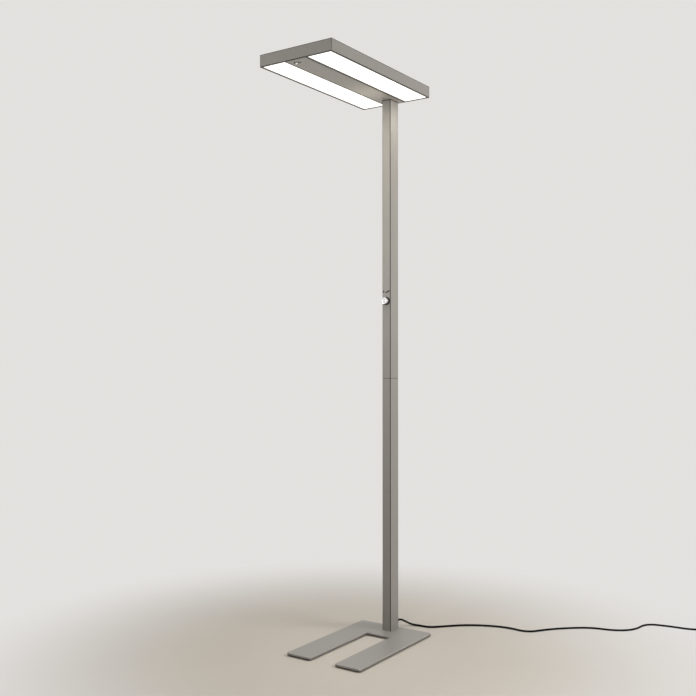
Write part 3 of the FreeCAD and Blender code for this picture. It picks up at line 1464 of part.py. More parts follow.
def clip_pockets():
    """Cutters for the two side grooves that hold the earth contacts."""
    low = PLUG_HEIGHT - CLIP_HEIGHT
    pockets = []
    for side in (-1, 1):
        depth = ordered(
            side * (PLUG_RADIUS - CLIP_GROOVE_DEPTH), side * (PLUG_RADIUS + TOUCH_DEPTH)
        )
        width = (-CLIP_WIDTH / 2 - JOINT_GAP, CLIP_WIDTH / 2 + JOINT_GAP)
        pockets.append(block(width, depth, (low, PLUG_HEIGHT)))
    return pockets


def plug_body():
    """An angled plug: a round body on its back, with the cord's boot on its side."""
    height = plug_axis_height()
    body = rod(PLUG_RADIUS, (0, 0, 0), (0, 0, PLUG_HEIGHT))
    body = body.makeFillet(
        PLUG_BACK_RADIUS, [edge for edge in body.Edges if edge.BoundBox.ZMax < TINY]
    )
    tip = Vector(-PLUG_RADIUS - PLUG_BOOT_LENGTH, 0, height)
    root = Vector(-PLUG_RADIUS, 0, height)
    boot = ringed_boot(
        root, tip, PLUG_BOOT_ROOT_RADIUS, PLUG_BOOT_TIP_RADIUS, PLUG_BOOT_RINGS
    )
    neck = rod(PLUG_BOOT_ROOT_RADIUS, root, (-PLUG_RADIUS / 2, 0, height))
    plug = fused([body, neck, boot]).cut(clip_pockets())
    plug.Placement = plug_placement()
    return plug


def plug_pins():
    pins = []
    for side in (-1, 1):
        y = side * PIN_SPACING / 2
        pin = rod(PIN_RADIUS, (0, y, PLUG_HEIGHT), (0, y, PLUG_HEIGHT + PIN_LENGTH))
        tip = PLUG_HEIGHT + PIN_LENGTH - TINY
        pins.append(
            pin.makeFillet(PIN_TIP_RADIUS, [e for e in pin.Edges if e.BoundBox.ZMin > tip])
        )
    pair = group(pins)
    pair.Placement = plug_placement()
    return pair


def plug_clips():
    """The earth contacts: a sprung strip in each side groove."""
    low = PLUG_HEIGHT - CLIP_HEIGHT
    clips = []
    for side in (-1, 1):
        inner = PLUG_RADIUS - CLIP_GROOVE_DEPTH
        depth = ordered(side * inner, side * (inner + CLIP_THICKNESS))
        clips.append(block((-CLIP_WIDTH / 2, CLIP_WIDTH / 2), depth, (low, PLUG_HEIGHT)))
    pair = group(clips)
    pair.Placement = plug_placement()
    return pair


# ---------------------------------------------------------------- the whole lamp
def all_nodes():
    """Every sub-part's name and shape."""
    nodes = {
        "base_plate": base_plate(),
        "base_feet": base_feet(),
        "base_screws": base_screws(),
        "lower_column": lower_column(),
        "upper_column": upper_column(),
        "column_splice": column_splice(),
        "splice_screws": splice_screws(),
        "column_cap": column_cap(),
        "dimmer_bezel": dimmer_bezel(),
        "dimmer_body": dimmer_body(),
        "dimmer_nut": dimmer_nut(),
        "dimmer_knob": dimmer_knob(),
        "knob_screw": knob_screw(),
        "dimmer_shaft": dimmer_shaft(),
        "switch_plunger": switch_plunger(),
        "rail_right": side_rail(),
        "rail_left": mirrored(side_rail()),
        "rail_front": end_rail(-1),
        "rail_back": end_rail(1),
        "corner_cleats": corner_cleats(),
        "centre_beam": centre_beam(),
        "stud_nuts": stud_nuts(),
        "top_cover": top_cover(),
        "cover_screws": cover_screws(),
        "end_brackets": end_brackets(),
        "bracket_screws": bracket_screws(),
        "head_plate": head_plate(),
        "head_screws": head_screws(),
        "lower_diffuser_right": lower_diffuser(),
        "lower_diffuser_left": mirrored(lower_diffuser()),
        "upper_diffuser_right": upper_diffuser(),
        "upper_diffuser_left": mirrored(upper_diffuser()),
        "led_tray_right": led_tray(),
        "led_tray_left": mirrored(led_tray()),
        "lower_led_board_right": led_board(-1),
        "lower_led_board_left": mirrored(led_board(-1)),
        "upper_led_board_right": led_board(1),
        "upper_led_board_left": mirrored(led_board(1)),
        "board_wires": board_wires(),
        "led_driver": led_driver(),
        "terminal_block": terminal_block(),
        "driver_lead": driver_lead(),
        "sensor_bezel": sensor_bezel(),
        "sensor_lens": sensor_lens(),
        "daylight_sensor": daylight_sensor(),
        "status_light": status_light(),
        "sensor_board": sensor_board(),
        "sensor_lead": sensor_lead(),
        "inner_lead": inner_lead(),
        "control_lead": control_lead(),
        "cord_gland": cord_gland(),
        "mains_cord": mains_cord(),
        "cord_coil": cord_coil(),
        "coil_tie": coil_tie(),
        "plug_body": plug_body(),
        "plug_pins": plug_pins(),
        "plug_clips": plug_clips(),
    }
    return nodes


def main():
    os.makedirs("parts", exist_ok=True)
    for name, shape in all_nodes().items():
        if not shape.isValid() or not shape.Solids:
            print(f"{name} is not a valid solid")
        shape.exportStep(f"parts/{name}.step")


main()
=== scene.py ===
# Looks of the office floor lamp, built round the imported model. Metres, +Z up.
import math
import bmesh
import bpy
from mathutils import Matrix, Vector


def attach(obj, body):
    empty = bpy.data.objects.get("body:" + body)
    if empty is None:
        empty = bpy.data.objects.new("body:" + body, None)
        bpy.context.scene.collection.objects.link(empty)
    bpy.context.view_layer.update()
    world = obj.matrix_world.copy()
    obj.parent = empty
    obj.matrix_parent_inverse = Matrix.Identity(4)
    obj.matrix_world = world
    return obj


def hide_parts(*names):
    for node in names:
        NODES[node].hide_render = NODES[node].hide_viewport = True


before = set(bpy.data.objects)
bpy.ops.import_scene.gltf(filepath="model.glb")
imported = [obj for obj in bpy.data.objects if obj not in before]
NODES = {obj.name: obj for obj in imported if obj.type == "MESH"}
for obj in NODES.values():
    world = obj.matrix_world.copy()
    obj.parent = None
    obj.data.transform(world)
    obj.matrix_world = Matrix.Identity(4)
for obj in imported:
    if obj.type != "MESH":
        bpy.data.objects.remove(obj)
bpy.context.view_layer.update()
MM = 0.001

# ---------------------------------------------------------------- camera
CAMERA_PLACE = Vector((1.7144, -2.5091, 0.9824))
CAMERA_YAW = math.radians(34.427)
CAMERA_PITCH = math.radians(0.656)
CAMERA_LENS = 46.72


def make_camera():
    data = bpy.data.cameras.new("camera")
    data.sensor_width = 36.0
    data.lens = CAMERA_LENS
    data.clip_end = 100.0
    camera = bpy.data.objects.new("camera", data)
    turn = Matrix.Rotation(CAMERA_YAW, 4, "Z") @ Matrix.Rotation(math.pi / 2 + CAMERA_PITCH, 4, "X")
    camera.matrix_world = Matrix.Translation(CAMERA_PLACE) @ turn
    bpy.context.scene.collection.objects.link(camera)
    bpy.context.scene.camera = camera


# ---------------------------------------------------------------- material helpers
def set_range(node, start, end, low, high):
    """The four numbers of a node that spreads a value over a range."""
    node.inputs["From Min"].default_value = start
    node.inputs["From Max"].default_value = end
    node.inputs["To Min"].default_value = low
    node.inputs["To Max"].default_value = high


class Nodes:
    """A material's node tree, with short calls to add nodes."""

    def __init__(self, name):
        self.material = bpy.data.materials.new(name)
        self.material.use_nodes = True
        self.tree = self.material.node_tree
        self.shader = self.tree.nodes["Principled BSDF"]
        self.output = self.tree.nodes["Material Output"]
        self.place = self.add("ShaderNodeTexCoord").outputs["Object"]

    def add(self, kind, **settings):
        node = self.tree.nodes.new(kind)
        for key, value in settings.items():
            setattr(node, key, value)
        return node

    def link(self, output, node, socket):
        self.tree.links.new(output, node.inputs[socket])

    def set(self, **values):
        """Constants on the shader's own sockets."""
        for name, value in values.items():
            socket = self.shader.inputs[name.replace("_", " ")]
            socket.default_value = (*value, 1.0) if isinstance(value, tuple) else value

    def noise(self, scale, detail=2.0):
        node = self.add("ShaderNodeTexNoise")
        node.inputs["Scale"].default_value = scale
        node.inputs["Detail"].default_value = detail
        self.link(self.place, node, "Vector")
        return node.outputs["Fac"]

    def range(self, value, low, high, start=0.3, end=0.7):
        """Spreads a value over a range of numbers."""
        node = self.add("ShaderNodeMapRange")
        set_range(node, start, end, low, high)
        self.link(value, node, "Value")
        return node.outputs["Result"]

    def blend(self, value, first, second, start=0.3, end=0.7):
        """Goes from one colour to another as a value rises."""
        node = self.add("ShaderNodeValToRGB")
        node.color_ramp.elements[0].position = start
        node.color_ramp.elements[1].position = end
        node.color_ramp.elements[0].color = (*first, 1.0)
        node.color_ramp.elements[1].color = (*second, 1.0)
        self.link(value, node, "Fac")
        return node.outputs["Color"]

    def math(self, operation, *values):
        """A sum on outputs of other nodes and on plain numbers."""
        node = self.add("ShaderNodeMath", operation=operation)
        for i, value in enumerate(values):
            if isinstance(value, (int, float)):
                node.inputs[i].default_value = value
            else:
                self.tree.links.new(value, node.inputs[i])
        return node.outputs["Value"]

    def axes(self):
        """The place along each axis of the model."""
        node = self.add("ShaderNodeSeparateXYZ")
        self.link(self.place, node, "Vector")
        return node.outputs

    def near(self, value, target, reach):
        """1 where a value is within `reach` of its target, else 0."""
        return self.math("COMPARE", value, target, reach)

    def tinted(self, colour, mask, tint):
        """A colour, multiplied by a tint where the mask is 1."""
        node = self.add("ShaderNodeMixRGB", blend_type="MULTIPLY")
        self.link(mask, node, "Fac")
        self.link(colour, node, "Color1")
        node.inputs["Color2"].default_value = (*tint, 1.0)
        return node.outputs["Color"]

    def bump(self, height, distance, strength=1.0, under=None):
        node = self.add("ShaderNodeBump")
        node.inputs["Distance"].default_value = distance
        node.inputs["Strength"].default_value = strength
        self.link(height, node, "Height")
        if under:
            self.link(under, node, "Normal")
        return node.outputs["Normal"]


def shade(colour, factor):
    return tuple(channel * factor for channel in colour)


def plain(name, colour, rough, spread=0.08, grain=600.0, depth=0.00004, metallic=0.0, **extra):
    """A material with slight changes of colour and gloss, and a fine grain."""
    m = Nodes(name)
    m.set(Metallic=metallic, **extra)
    cloud = m.noise(6.0, 4.0)
    speck = m.noise(grain, 3.0)
    base = m.blend(cloud, shade(colour, 1 - spread), shade(colour, 1 + spread))
    m.link(base, m.shader, "Base Color")
    m.link(m.range(speck, rough - 0.06, rough + 0.06), m.shader, "Roughness")
    m.link(m.bump(speck, depth), m.shader, "Normal")
    return m.material


# ---------------------------------------------------------------- materials
PAINT = (0.330, 0.316, 0.295)
# Tints of the marks: DARK_LINE for the dark joints and for painted shade along edges and round the lit
# panels, RIM_SHADE for painted shade along the head's rims, EDGE_LIGHT for a painted highlight on the base
# plate's chamfer.
DARK_LINE = (0.08, 0.078, 0.075)
RIM_SHADE = (0.25, 0.245, 0.24)
EDGE_LIGHT = (1.7, 1.7, 1.7)


def paint(name, *marks):
    """Silver-grey structured paint: fine flakes, a soft orange peel and slight clouds.

    Each mark is a mask, such as a dark joint, painted shade along an edge or a painted highlight on a
    chamfer, and the tint that it has there."""
    m = Nodes(name)
    m.set(Metallic=0.25)
    cloud = m.blend(m.noise(3.0, 3.0), shade(PAINT, 0.97), shade(PAINT, 1.03))
    flake = m.noise(2600.0, 2.0)
    mix = m.add("ShaderNodeMixRGB", blend_type="MULTIPLY")
    mix.inputs["Fac"].default_value = 1.0
    m.link(cloud, mix, "Color1")
    m.link(m.blend(flake, (0.88, 0.88, 0.88), (1.1, 1.1, 1.1)), mix, "Color2")
    colour = mix.outputs["Color"]
    for mask, tint in marks:
        colour = m.tinted(colour, mask(m), tint)
    m.link(colour, m.shader, "Base Color")
    m.link(m.range(flake, 0.40, 0.54), m.shader, "Roughness")
    peel = m.bump(m.noise(420.0, 2.0), 0.00006)
    m.link(m.bump(flake, 0.00002, under=peel), m.shader, "Normal")
    return m.material


COLUMN_MIDDLE = 262 * MM  # along Y
COLUMN_HALF_WIDTH = 17 * MM
COLUMN_HALF_DEPTH = 27 * MM
# How far the painted shade at the corners reaches.
CORNER_REACH = 2.2 * MM
SEAM_HEIGHT = 911 * MM
SEAM_REACH = 0.8 * MM


def column_corner_shade_and_seam(m):
    """Painted shade along the column's four corners, and the dark joint of the seam between its parts."""
    x, y, z = m.axes()
    from_middle = m.math("ABSOLUTE", m.math("SUBTRACT", y, COLUMN_MIDDLE))
    side = m.near(m.math("ABSOLUTE", x), COLUMN_HALF_WIDTH, CORNER_REACH)
    end = m.near(from_middle, COLUMN_HALF_DEPTH, CORNER_REACH)
    seam = m.near(z, SEAM_HEIGHT, SEAM_REACH)
    return m.math("MAXIMUM", m.math("MULTIPLY", side, end), seam)


HEAD_HALF_WIDTH = 140 * MM
HEAD_HALF_LENGTH = 300 * MM
HEAD_BOTTOM = 1910 * MM
HEAD_TOP = 1950 * MM
PANEL_INNER = 42 * MM
PANEL_OUTER = 136 * MM
PANEL_END = 296 * MM


def from_outline(m):
    """How far a place lies outside the head's outline, along X and along Y."""
    x, y, z = m.axes()
    across = m.math("SUBTRACT", m.math("ABSOLUTE", x), HEAD_HALF_WIDTH)
    along = m.math("SUBTRACT", m.math("ABSOLUTE", y), HEAD_HALF_LENGTH)
    return across, along, z


MITRE_REACH = 0.35 * MM
MITRE_DEPTH = 5 * MM  # how far in from the outline a mitre's line is drawn
HEAD_CORNER_REACH = 1.1 * MM
LIP_MIDDLE = 2 * MM  # in from the outline
LIP_REACH = 2.1 * MM
BEAM_EDGE_MIDDLE = 2.3 * MM  # in from the beam's edge
BEAM_EDGE_REACH = 2.4 * MM
UNDERSIDE_DEPTH = 0.5 * MM


def head_joints_and_shade(m):
    """The mitred joints at the head's corners, and painted shade on the lips and the beam's edges round the
    lower panels.
    """
    across, along, z = from_outline(m)
    mitre = m.near(across, along, MITRE_REACH)
    corner_x = m.near(across, 0.0, HEAD_CORNER_REACH)
    corner_y = m.near(along, 0.0, HEAD_CORNER_REACH)
    corner = m.math("MULTIPLY", corner_x, corner_y)
    outside = m.math("GREATER_THAN", across, -MITRE_DEPTH)
    joint = m.math("MULTIPLY", m.math("MAXIMUM", mitre, corner), outside)
    # Painted shade along the beam's edges and the rails' lips beside the lower panels, on the underside
    # only.
    beam_edge = m.near(across, PANEL_INNER - HEAD_HALF_WIDTH - BEAM_EDGE_MIDDLE, BEAM_EDGE_REACH)
    lip_x = m.near(across, -LIP_MIDDLE, LIP_REACH)
    lip_y = m.near(along, -LIP_MIDDLE, LIP_REACH)
    frame_edge = m.math("MAXIMUM", m.math("MAXIMUM", lip_x, lip_y), beam_edge)
    low = m.math("LESS_THAN", z, HEAD_BOTTOM + UNDERSIDE_DEPTH)
    return m.math("MAXIMUM", joint, m.math("MULTIPLY", frame_edge, low))


OUTER_FACE_DEPTH = 0.3 * MM
TOP_RIM_REACH = 2.2 * MM
BOTTOM_RIM_REACH = 2.6 * MM


def head_rim_shade(m):
    """Painted shade along the head's outer edges, above and below, where the profile turns away."""
    across, along, z = from_outline(m)
    outer = m.math("GREATER_THAN", m.math("MAXIMUM", across, along), -OUTER_FACE_DEPTH)
    top = m.near(z, HEAD_TOP, TOP_RIM_REACH)
    bottom = m.near(z, HEAD_BOTTOM, BOTTOM_RIM_REACH)
    return m.math("MULTIPLY", outer, m.math("MAXIMUM", top, bottom))


PLATE_CHAMFER_HEIGHT = 10.5 * MM
PLATE_CHAMFER_REACH = 0.48 * MM
PLATE_FOOT_HEIGHT = 3 * MM
PLATE_FOOT_REACH = 1.6 * MM


def base_chamfer_highlight(m):
    """A painted highlight on the small chamfer round the top of the base plate."""
    return m.near(m.axes()[2], PLATE_CHAMFER_HEIGHT, PLATE_CHAMFER_REACH)


def base_foot_shade(m):
    """Painted shade along the lower edge of the base plate, beside the dark gap over the floor."""
    return m.near(m.axes()[2], PLATE_FOOT_HEIGHT, PLATE_FOOT_REACH)


PANEL_EMISSION = 1.05
# The painted shade along a panel's frame: dark and unlit up to the first distance, lit in full from the
# second.
PANEL_DARK_TO = 3.4 * MM  # in from a panel's edge
PANEL_LIT_FROM = 4.4 * MM


def opal():
    """A lit opal sheet: white, with a fine grain, and a narrow strip of painted shade along its frame,
    where it gives no light.
    """
    m = Nodes("opal")
    m.set(Roughness=0.45)
    grain = m.noise(900.0, 1.0)
    x, y, _ = m.axes()
    beside = m.math("ABSOLUTE", x)
    inner = m.math("SUBTRACT", beside, PANEL_INNER)
    outer = m.math("SUBTRACT", PANEL_OUTER, beside)
    end = m.math("SUBTRACT", PANEL_END, m.math("ABSOLUTE", y))
    inside = m.math("MINIMUM", m.math("MINIMUM", inner, outer), end)
    lit = m.range(inside, 0.0, 1.0, PANEL_DARK_TO, PANEL_LIT_FROM)
    white = m.blend(grain, (0.90, 0.89, 0.86), (0.94, 0.93, 0.90))
    glow = m.blend(m.noise(4.0), (1.0, 0.965, 0.90), (1.0, 0.985, 0.94))
    m.link(m.tinted(white, m.math("SUBTRACT", 1.0, lit), DARK_LINE), m.shader, "Base Color")
    m.link(glow, m.shader, "Emission Color")
    m.link(m.math("MULTIPLY", lit, PANEL_EMISSION), m.shader, "Emission Strength")
    m.link(m.bump(grain, 0.00005), m.shader, "Normal")
    return m.material


KNOB_HEIGHT = 1188 * MM
KNOB_DARK_RING = 4.2 * MM  # the radius of the dark patches on its face
KNOB_DARK_REACH = 2.6 * MM
KNOB_RIM = 11.4 * MM  # outside this radius lies its side
KNOB_FAN_SOFTNESS = 1 * MM
KNOB_FAN = (0.2, 0.9)  # sideways over upright, from a patch's middle to its edge
KNOB_PATCH = (0.30, 0.30, 0.31)
KNOB_RING_PITCH = 0.25 * MM


def chrome_knob():
    """Bright spun metal with fine rings. The two soft dark fans that such rings reflect are
    painted on, so they turn with the knob."""
    m = Nodes("chrome_knob")
    m.set(Metallic=1.0)
    x, _, z = m.axes()
    up = m.math("ABSOLUTE", m.math("SUBTRACT", z, KNOB_HEIGHT))
    beside = m.math("ABSOLUTE", x)
    squares = m.math("ADD", m.math("POWER", up, 2.0), m.math("POWER", beside, 2.0))
    radius = m.math("SQRT", squares)
    slope = m.math("DIVIDE", beside, m.math("ADD", up, KNOB_FAN_SOFTNESS))
    fan = m.range(slope, 0.0, 1.0, *KNOB_FAN)
    inner = m.near(radius, KNOB_DARK_RING, KNOB_DARK_REACH)
    rim = m.math("GREATER_THAN", radius, KNOB_RIM)
    shown = m.math("MULTIPLY", m.math("MAXIMUM", inner, rim), m.math("SUBTRACT", 1.0, fan))
    bright = m.blend(m.noise(900.0), (0.86, 0.86, 0.86), (0.92, 0.92, 0.92))
    m.link(m.tinted(bright, shown, KNOB_PATCH), m.shader, "Base Color")
    rings = m.math("SINE", m.math("MULTIPLY", radius, 2 * math.pi / KNOB_RING_PITCH))
    m.link(m.range(rings, 0.10, 0.22, -1.0, 1.0), m.shader, "Roughness")
    m.link(m.bump(rings, 0.000003), m.shader, "Normal")
    return m.material


def make_materials():
    return {
        "paint_base": paint("paint_base", (base_chamfer_highlight, EDGE_LIGHT), (base_foot_shade, DARK_LINE)),
        "paint_column": paint("paint_column", (column_corner_shade_and_seam, DARK_LINE)),
        "paint_head": paint("paint_head", (head_joints_and_shade, DARK_LINE), (head_rim_shade, RIM_SHADE)),
        "opal": opal(),
        "chrome_knob": chrome_knob(),
        "zinc": plain("zinc", (0.52, 0.53, 0.55), 0.34, 0.06, 900.0, 0.00002, 1.0),
        "nickel": plain("nickel", (0.66, 0.64, 0.60), 0.20, 0.04, 900.0, 0.00001, 1.0),
        "black_steel": plain("black_steel", (0.030, 0.030, 0.032), 0.40, 0.15, 900.0, 0.00002, 0.6),
        "aluminium": plain("aluminium", (0.62, 0.63, 0.64), 0.36, 0.05, 700.0, 0.00002, 1.0),
        "black_plastic": plain("black_plastic", (0.018, 0.018, 0.019), 0.50, 0.2, 1400.0, 0.00004),
        "grey_plastic": plain("grey_plastic", (0.20, 0.205, 0.21), 0.48, 0.08, 1400.0, 0.00004),
        "white_plastic": plain("white_plastic", (0.78, 0.78, 0.76), 0.40, 0.03, 1400.0, 0.00003),
        "lens": plain("lens", (0.95, 0.95, 0.94), 0.22, 0.03, 1200.0, 0.00004),
        "smoked": plain("smoked", (0.020, 0.020, 0.022), 0.16, 0.2, 1400.0, 0.00001),
        "board": plain("board", (0.80, 0.81, 0.80), 0.35, 0.03, 500.0, 0.00002),
        "cord": plain(
            "cord", (0.004, 0.004, 0.004), 0.75, 0.25, 1100.0, 0.00005, Specular_IOR_Level=0.15
        ),
        "print": plain("print", (0.006, 0.006, 0.006), 0.6, 0.2, 1400.0, 0.00001),
        "rubber": plain("rubber", (0.020, 0.020, 0.020), 0.75, 0.2, 1200.0, 0.00008),
    }


NODE_MATERIALS = {
    "paint_base": "base_plate",
    "paint_column": "lower_column upper_column",
    "paint_head": "rail_right rail_left rail_front rail_back centre_beam top_cover",
    "opal": "lower_diffuser_right lower_diffuser_left upper_diffuser_right upper_diffuser_left",
    "chrome_knob": "dimmer_knob",
    "zinc": "base_screws dimmer_nut dimmer_shaft corner_cleats stud_nuts end_brackets "
    "bracket_screws head_plate",
    "nickel": "plug_pins plug_clips",
    "black_steel": "splice_screws knob_screw cover_screws head_screws",
    "aluminium": "column_splice led_tray_right led_tray_left",
    "black_plastic": "column_cap dimmer_bezel sensor_bezel cord_gland coil_tie plug_body",
    "grey_plastic": "dimmer_body sensor_lead control_lead",
    "white_plastic": "switch_plunger board_wires led_driver terminal_block driver_lead inner_lead",
    "lens": "sensor_lens",
    "smoked": "daylight_sensor status_light",
    "board": "lower_led_board_right lower_led_board_left upper_led_board_right "
    "upper_led_board_left sensor_board",
    "cord": "mains_cord cord_coil",
    "rubber": "base_feet",
}


def dress_nodes(materials):
    for name, nodes in NODE_MATERIALS.items():
        for node in nodes.split():
            slots = NODES[node].data.materials
            if len(slots) == 0:
                slots.append(materials[name])
            for index in range(len(slots)):
                slots[index] = materials[name]


# ---------------------------------------------------------------- mains cord
CORD_RADIUS = 0.0035
ROUTE = [
    (0.0, 0.311, 0.0305),
    (0.0, 0.332, 0.0305),
    (0.0041, 0.3562, 0.0167),
    (0.0244, 0.3731, 0.0041),
    (0.0539, 0.3799, 0.0035),
    (0.0961, 0.3813, 0.0035),
    (0.1404, 0.4322, 0.0035),
    (0.192, 0.4833, 0.0035),
    (0.2651, 0.522, 0.0035),
    (0.3355, 0.5399, 0.0035),
    (0.4104, 0.5252, 0.0035),
    (0.4581, 0.5993, 0.0035),
    (0.5166, 0.6606, 0.0035),
    (0.5819, 0.7096, 0.0035),
    (0.6653, 0.7217, 0.0035),
    (0.7206, 0.7732, 0.0035),
    (0.73, 0.8679, 0.0035),
    (0.8067, 0.8862, 0.0035),
    (0.8893, 0.8848, 0.0047),
    (0.9503, 0.9281, 0.0047),
]
COIL_TURNS = 3.5
COIL_POINTS_PER_TURN = 16
COIL_INNER_RADIUS = 0.029
COIL_PITCH = 0.0075
COIL_CLIMB_TURNS = 0.5
COIL_WAY_IN = 0.007
COIL_WAY_OUT = 0.014


def coil_points():
    """The put-away length, in the frame of the coil: in to half way, up a layer, and out."""
    draw_in = math.cos(math.pi / COIL_POINTS_PER_TURN) ** 2
    out = 2 / (1 + draw_in)  # a spline of order 3 lies inside its points by this much
    middle = COIL_TURNS / 2
    points = []
    for i in range(round(COIL_TURNS * COIL_POINTS_PER_TURN) + 1):
        turn = i / COIL_POINTS_PER_TURN
        radius = (COIL_INNER_RADIUS + COIL_PITCH * abs(turn - middle)) * out
        climbed = min(max((turn - middle) / COIL_CLIMB_TURNS + 0.5, 0.0), 1.0)
        height = COIL_PITCH * (1 - math.cos(math.pi * climbed)) / 2
        angle = 2 * math.pi * turn
        points.append(Vector((radius * math.sin(angle), radius * math.cos(angle), height)))
    return points


def cord_points():
    route = [Vector(point) for point in ROUTE]
    way = (route[-1] - route[-2]).normalized()
    start_radius = COIL_INNER_RADIUS + COIL_PITCH * COIL_TURNS / 2
    growth = COIL_PITCH / (2 * math.pi * start_radius)
    turn = Matrix.Rotation(math.atan2(way.y, way.x) + growth, 3, "Z")
    centre = route[-1] + way * COIL_WAY_IN - turn @ Vector((0.0, start_radius, 0.0))
    coil = [centre + turn @ point for point in coil_points()]
    end_way = turn @ Vector((-1.0, -growth, 0.0)).normalized()
    coil.append(coil[-1] + end_way * COIL_WAY_OUT)
    return route + coil[1:]


def make_cord(materials):
    data = bpy.data.curves.new("mains_lead", "CURVE")
    data.dimensions = "3D"
    data.bevel_depth = CORD_RADIUS
    data.bevel_resolution = 6
    data.resolution_u = 12
    data.use_fill_caps = True
    points = cord_points()
    spline = data.splines.new("NURBS")
    spline.points.add(len(points) - 1)
    for point, place in zip(spline.points, points):
        point.co = (*place, 1.0)
    spline.order_u = 3
    spline.use_endpoint_u = True
    data.materials.append(materials["cord"])
    cord = bpy.data.objects.new("mains_lead", data)
    bpy.context.scene.collection.objects.link(cord)
    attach(cord, "stand")
    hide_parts("mains_cord", "cord_coil")


# ---------------------------------------------------------------- sign over the knob
SIGN_FACE = 234.9 * MM  # just in front of the column
SIGN_BACK = 235.05 * MM
DOT_PLACE = (-11.6 * MM, 1222.0 * MM)
DOT_RADIUS = 3.3 * MM
DOT_STEPS = 24
WEDGE = [  # in millimetres along X and Z
    (-7.0, 1216.6),
    (0.0, 1216.8),
    (5.0, 1218.2),
    (14.9, 1223.4),
    (14.7, 1225.6),
    (4.5, 1224.4),
    (-1.5, 1220.2),
]


def flat_sign(name, outline, materials):
    """A thin raised print on the column's front, from its outline in x and z."""
    mesh = bmesh.new()
    front = [mesh.verts.new((x, SIGN_FACE, z)) for x, z in outline]
    face = mesh.faces.new(front)
    out = bmesh.ops.extrude_face_region(mesh, geom=[face])
    moved = [item for item in out["geom"] if isinstance(item, bmesh.types.BMVert)]
    bmesh.ops.translate(mesh, verts=moved, vec=(0.0, SIGN_BACK - SIGN_FACE, 0.0))
    bmesh.ops.recalc_face_normals(mesh, faces=mesh.faces)
    data = bpy.data.meshes.new(name)
    mesh.to_mesh(data)
    mesh.free()
    data.materials.append(materials["print"])
    sign = bpy.data.objects.new(name, data)
    bpy.context.scene.collection.objects.link(sign)
    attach(sign, "stand")


def make_signs(materials):
    dot = []
    for i in range(DOT_STEPS):
        angle = 2 * math.pi * i / DOT_STEPS
        x = DOT_PLACE[0] + DOT_RADIUS * math.cos(angle)
        z = DOT_PLACE[1] + DOT_RADIUS * math.sin(angle)
        dot.append((x, z))
    flat_sign("sign_dot", dot, materials)
    flat_sign("sign_wedge", [(x * MM, z * MM) for x, z in WEDGE], materials)


# ---------------------------------------------------------------- floor and light
FLOOR_COLOUR = (0.57, 0.525, 0.465)
# Between these distances from the lamp the floor that is seen turns into the wall's tone,
# and its shadows fade with it.
FLOOR_FADE = (0.35, 1.4)
WALL_COLOUR = (0.77, 0.755, 0.735)
FLOOR_HALF = 20.0
FLOOR_DROP = 0.0002  # below the pads, so that the two faces don't share a plane
WORLD_LOW = 0.08  # the world's light from the horizon
WORLD_HIGH = 0.60  # and from above
WORLD_RISE = 0.9  # the height, on a ball of radius 1, where it is at its strongest
KEY_POWER = 37.0
FILL_POWER = 2.9
CARD_POWER = 0.62
CEILING_POWER = 6.0
PANEL_POWER = 1.25
GLOW_POWER = 5.0
BEAM_POWER = 0.035
DAYLIGHT = (1.0, 0.99, 0.97)
NEUTRAL = (1.0, 1.0, 1.0)
WARM_WALL = (1.0, 0.93, 0.80)
WARM_BEAM = (1.0, 0.92, 0.78)
PANEL_LIGHT = (1.0, 0.95, 0.83)
FILL_SPREAD = 84.0
BEAM_SPREAD = 44.0
PANEL_SPREAD = 112.0


def seen_directly(tree):
    """1 for what the camera sees, also in a mirror or through glass, and 0 for light."""
    path = tree.nodes.new("ShaderNodeLightPath")
    seen = path.outputs["Is Camera Ray"]
    for ray in ("Is Glossy Ray", "Is Transmission Ray"):
        either = tree.nodes.new("ShaderNodeMath")
        either.operation = "MAXIMUM"
        tree.links.new(seen, either.inputs[0])
        tree.links.new(path.outputs[ray], either.inputs[1])
        seen = either.outputs["Value"]
    return seen


def make_floor():
    mesh = bpy.data.meshes.new("floor")
    corners = [(x * FLOOR_HALF, y * FLOOR_HALF, 0.0) for x, y in ((-1, -1), (1, -1), (1, 1), (-1, 1))]
    mesh.from_pydata(corners, [], [(0, 1, 2, 3)])
    m = Nodes("floor")
    m.set(Roughness=0.7)
    cloud = m.blend(m.noise(1.5, 3.0), shade(FLOOR_COLOUR, 0.985), shade(FLOOR_COLOUR, 1.015))
    away = m.add("ShaderNodeVectorMath", operation="LENGTH")
    m.link(m.place, away, "Vector")
    m.link(cloud, m.shader, "Base Color")
    fade = m.range(away.outputs["Value"], 0.0, 1.0, *FLOOR_FADE)
    fade.node.interpolation_type = "SMOOTHSTEP"
    wall = m.add("ShaderNodeEmission")
    wall.inputs["Color"].default_value = (*WALL_COLOUR, 1.0)
    mix = m.add("ShaderNodeMixShader")
    m.link(m.math("MULTIPLY", fade, seen_directly(m.tree)), mix, "Fac")
    m.link(m.shader.outputs["BSDF"], mix, 1)
    m.link(wall.outputs["Emission"], mix, 2)
    m.link(mix.outputs["Shader"], m.output, "Surface")
    mesh.materials.append(m.material)
    floor = bpy.data.objects.new("floor", mesh)
    floor.location.z = -FLOOR_DROP
    bpy.context.scene.collection.objects.link(floor)


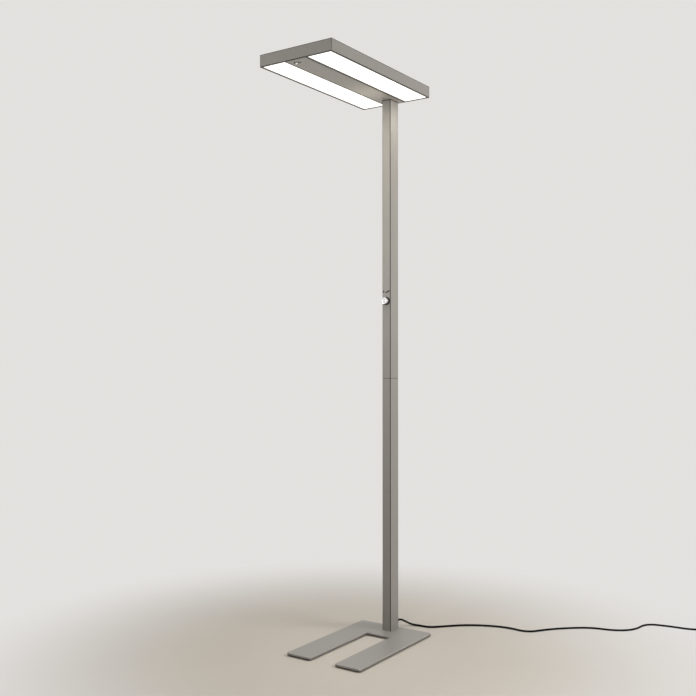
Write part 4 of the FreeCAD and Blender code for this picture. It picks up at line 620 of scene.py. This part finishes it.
def make_world():
    """Soft light, more from above, and the plain wall for what the camera and mirrors see."""
    world = bpy.data.worlds.new("world")
    bpy.context.scene.world = world
    world.use_nodes = True
    tree = world.node_tree
    light = tree.nodes["Background"]
    light.inputs["Color"].default_value = (1.0, 0.995, 0.985, 1.0)
    way = tree.nodes.new("ShaderNodeTexCoord")
    parts = tree.nodes.new("ShaderNodeSeparateXYZ")
    rise = tree.nodes.new("ShaderNodeMapRange")
    set_range(rise, 0.0, WORLD_RISE, WORLD_LOW, WORLD_HIGH)
    tree.links.new(way.outputs["Generated"], parts.inputs["Vector"])
    tree.links.new(parts.outputs["Z"], rise.inputs["Value"])
    tree.links.new(rise.outputs["Result"], light.inputs["Strength"])
    wall = tree.nodes.new("ShaderNodeBackground")
    wall.inputs["Color"].default_value = (*WALL_COLOUR, 1.0)
    mix = tree.nodes.new("ShaderNodeMixShader")
    tree.links.new(seen_directly(tree), mix.inputs["Fac"])
    tree.links.new(light.outputs["Background"], mix.inputs[1])
    tree.links.new(wall.outputs["Background"], mix.inputs[2])
    tree.links.new(mix.outputs["Shader"], tree.nodes["World Output"].inputs["Surface"])


def area_light(name, power, colour, place, target, size, spread=180.0, mirrored=False, lights=True):
    """A soft lamp that the camera doesn't see. One that is mirrored shows in reflections, and
    one with lights=False shows there alone."""
    data = bpy.data.lights.new(name, "AREA")
    data.shape = "RECTANGLE"
    data.size, data.size_y = size
    data.energy = power
    data.color = colour
    data.spread = math.radians(spread)
    light = bpy.data.objects.new(name, data)
    light.location = place
    way = Vector(target) - Vector(place)
    light.rotation_euler = way.to_track_quat("-Z", "Y").to_euler()
    light.visible_camera = False
    light.visible_glossy = mirrored
    light.visible_diffuse = lights
    bpy.context.scene.collection.objects.link(light)


def make_lights():
    """The room's key, fill and ceiling, a white card that only reflections show, the glow of
    the wall behind the head, the light on the beam's back end, and the lamp's own light."""
    area_light("key", KEY_POWER, DAYLIGHT, (2.3, 0.7, 1.5), (0.0, 0.2, 1.2), (1.0, 1.0))
    area_light(
        "fill", FILL_POWER, DAYLIGHT, (-0.6, -1.4, 1.3), (0.0, 0.235, 1.5), (0.8, 0.8), FILL_SPREAD
    )
    area_light(
        "card",
        CARD_POWER,
        NEUTRAL,
        (-1.17, -1.65, 1.33),
        (0.0, 0.21, 1.19),
        (0.7, 0.7),
        mirrored=True,
        lights=False,
    )
    area_light("ceiling", CEILING_POWER, NEUTRAL, (0.0, 0.0, 3.1), (0.0, 0.05, 1.95), (1.2, 1.2))
    area_light("wall_glow", GLOW_POWER, WARM_WALL, (0.0, 0.85, 1.45), (0.0, 0.2, 1.7), (1.2, 0.8))
    area_light(
        "column_glow", BEAM_POWER, WARM_BEAM, (0.0, 0.17, 1.6), (0.0, 0.12, 1.91), (0.05, 0.05), BEAM_SPREAD
    )
    for side in (-1, 1):
        place = (side * 0.089, 0.0, 1.9085)
        below = (place[0], place[1], 0.0)
        size = (0.088, 0.585)
        area_light(
            "panel_light", PANEL_POWER, PANEL_LIGHT, place, below, size, PANEL_SPREAD, mirrored=True
        )


bpy.context.scene.view_settings.view_transform = "Standard"
materials = make_materials()
dress_nodes(materials)
make_cord(materials)
make_signs(materials)
make_floor()
make_world()
make_lights()
make_camera()
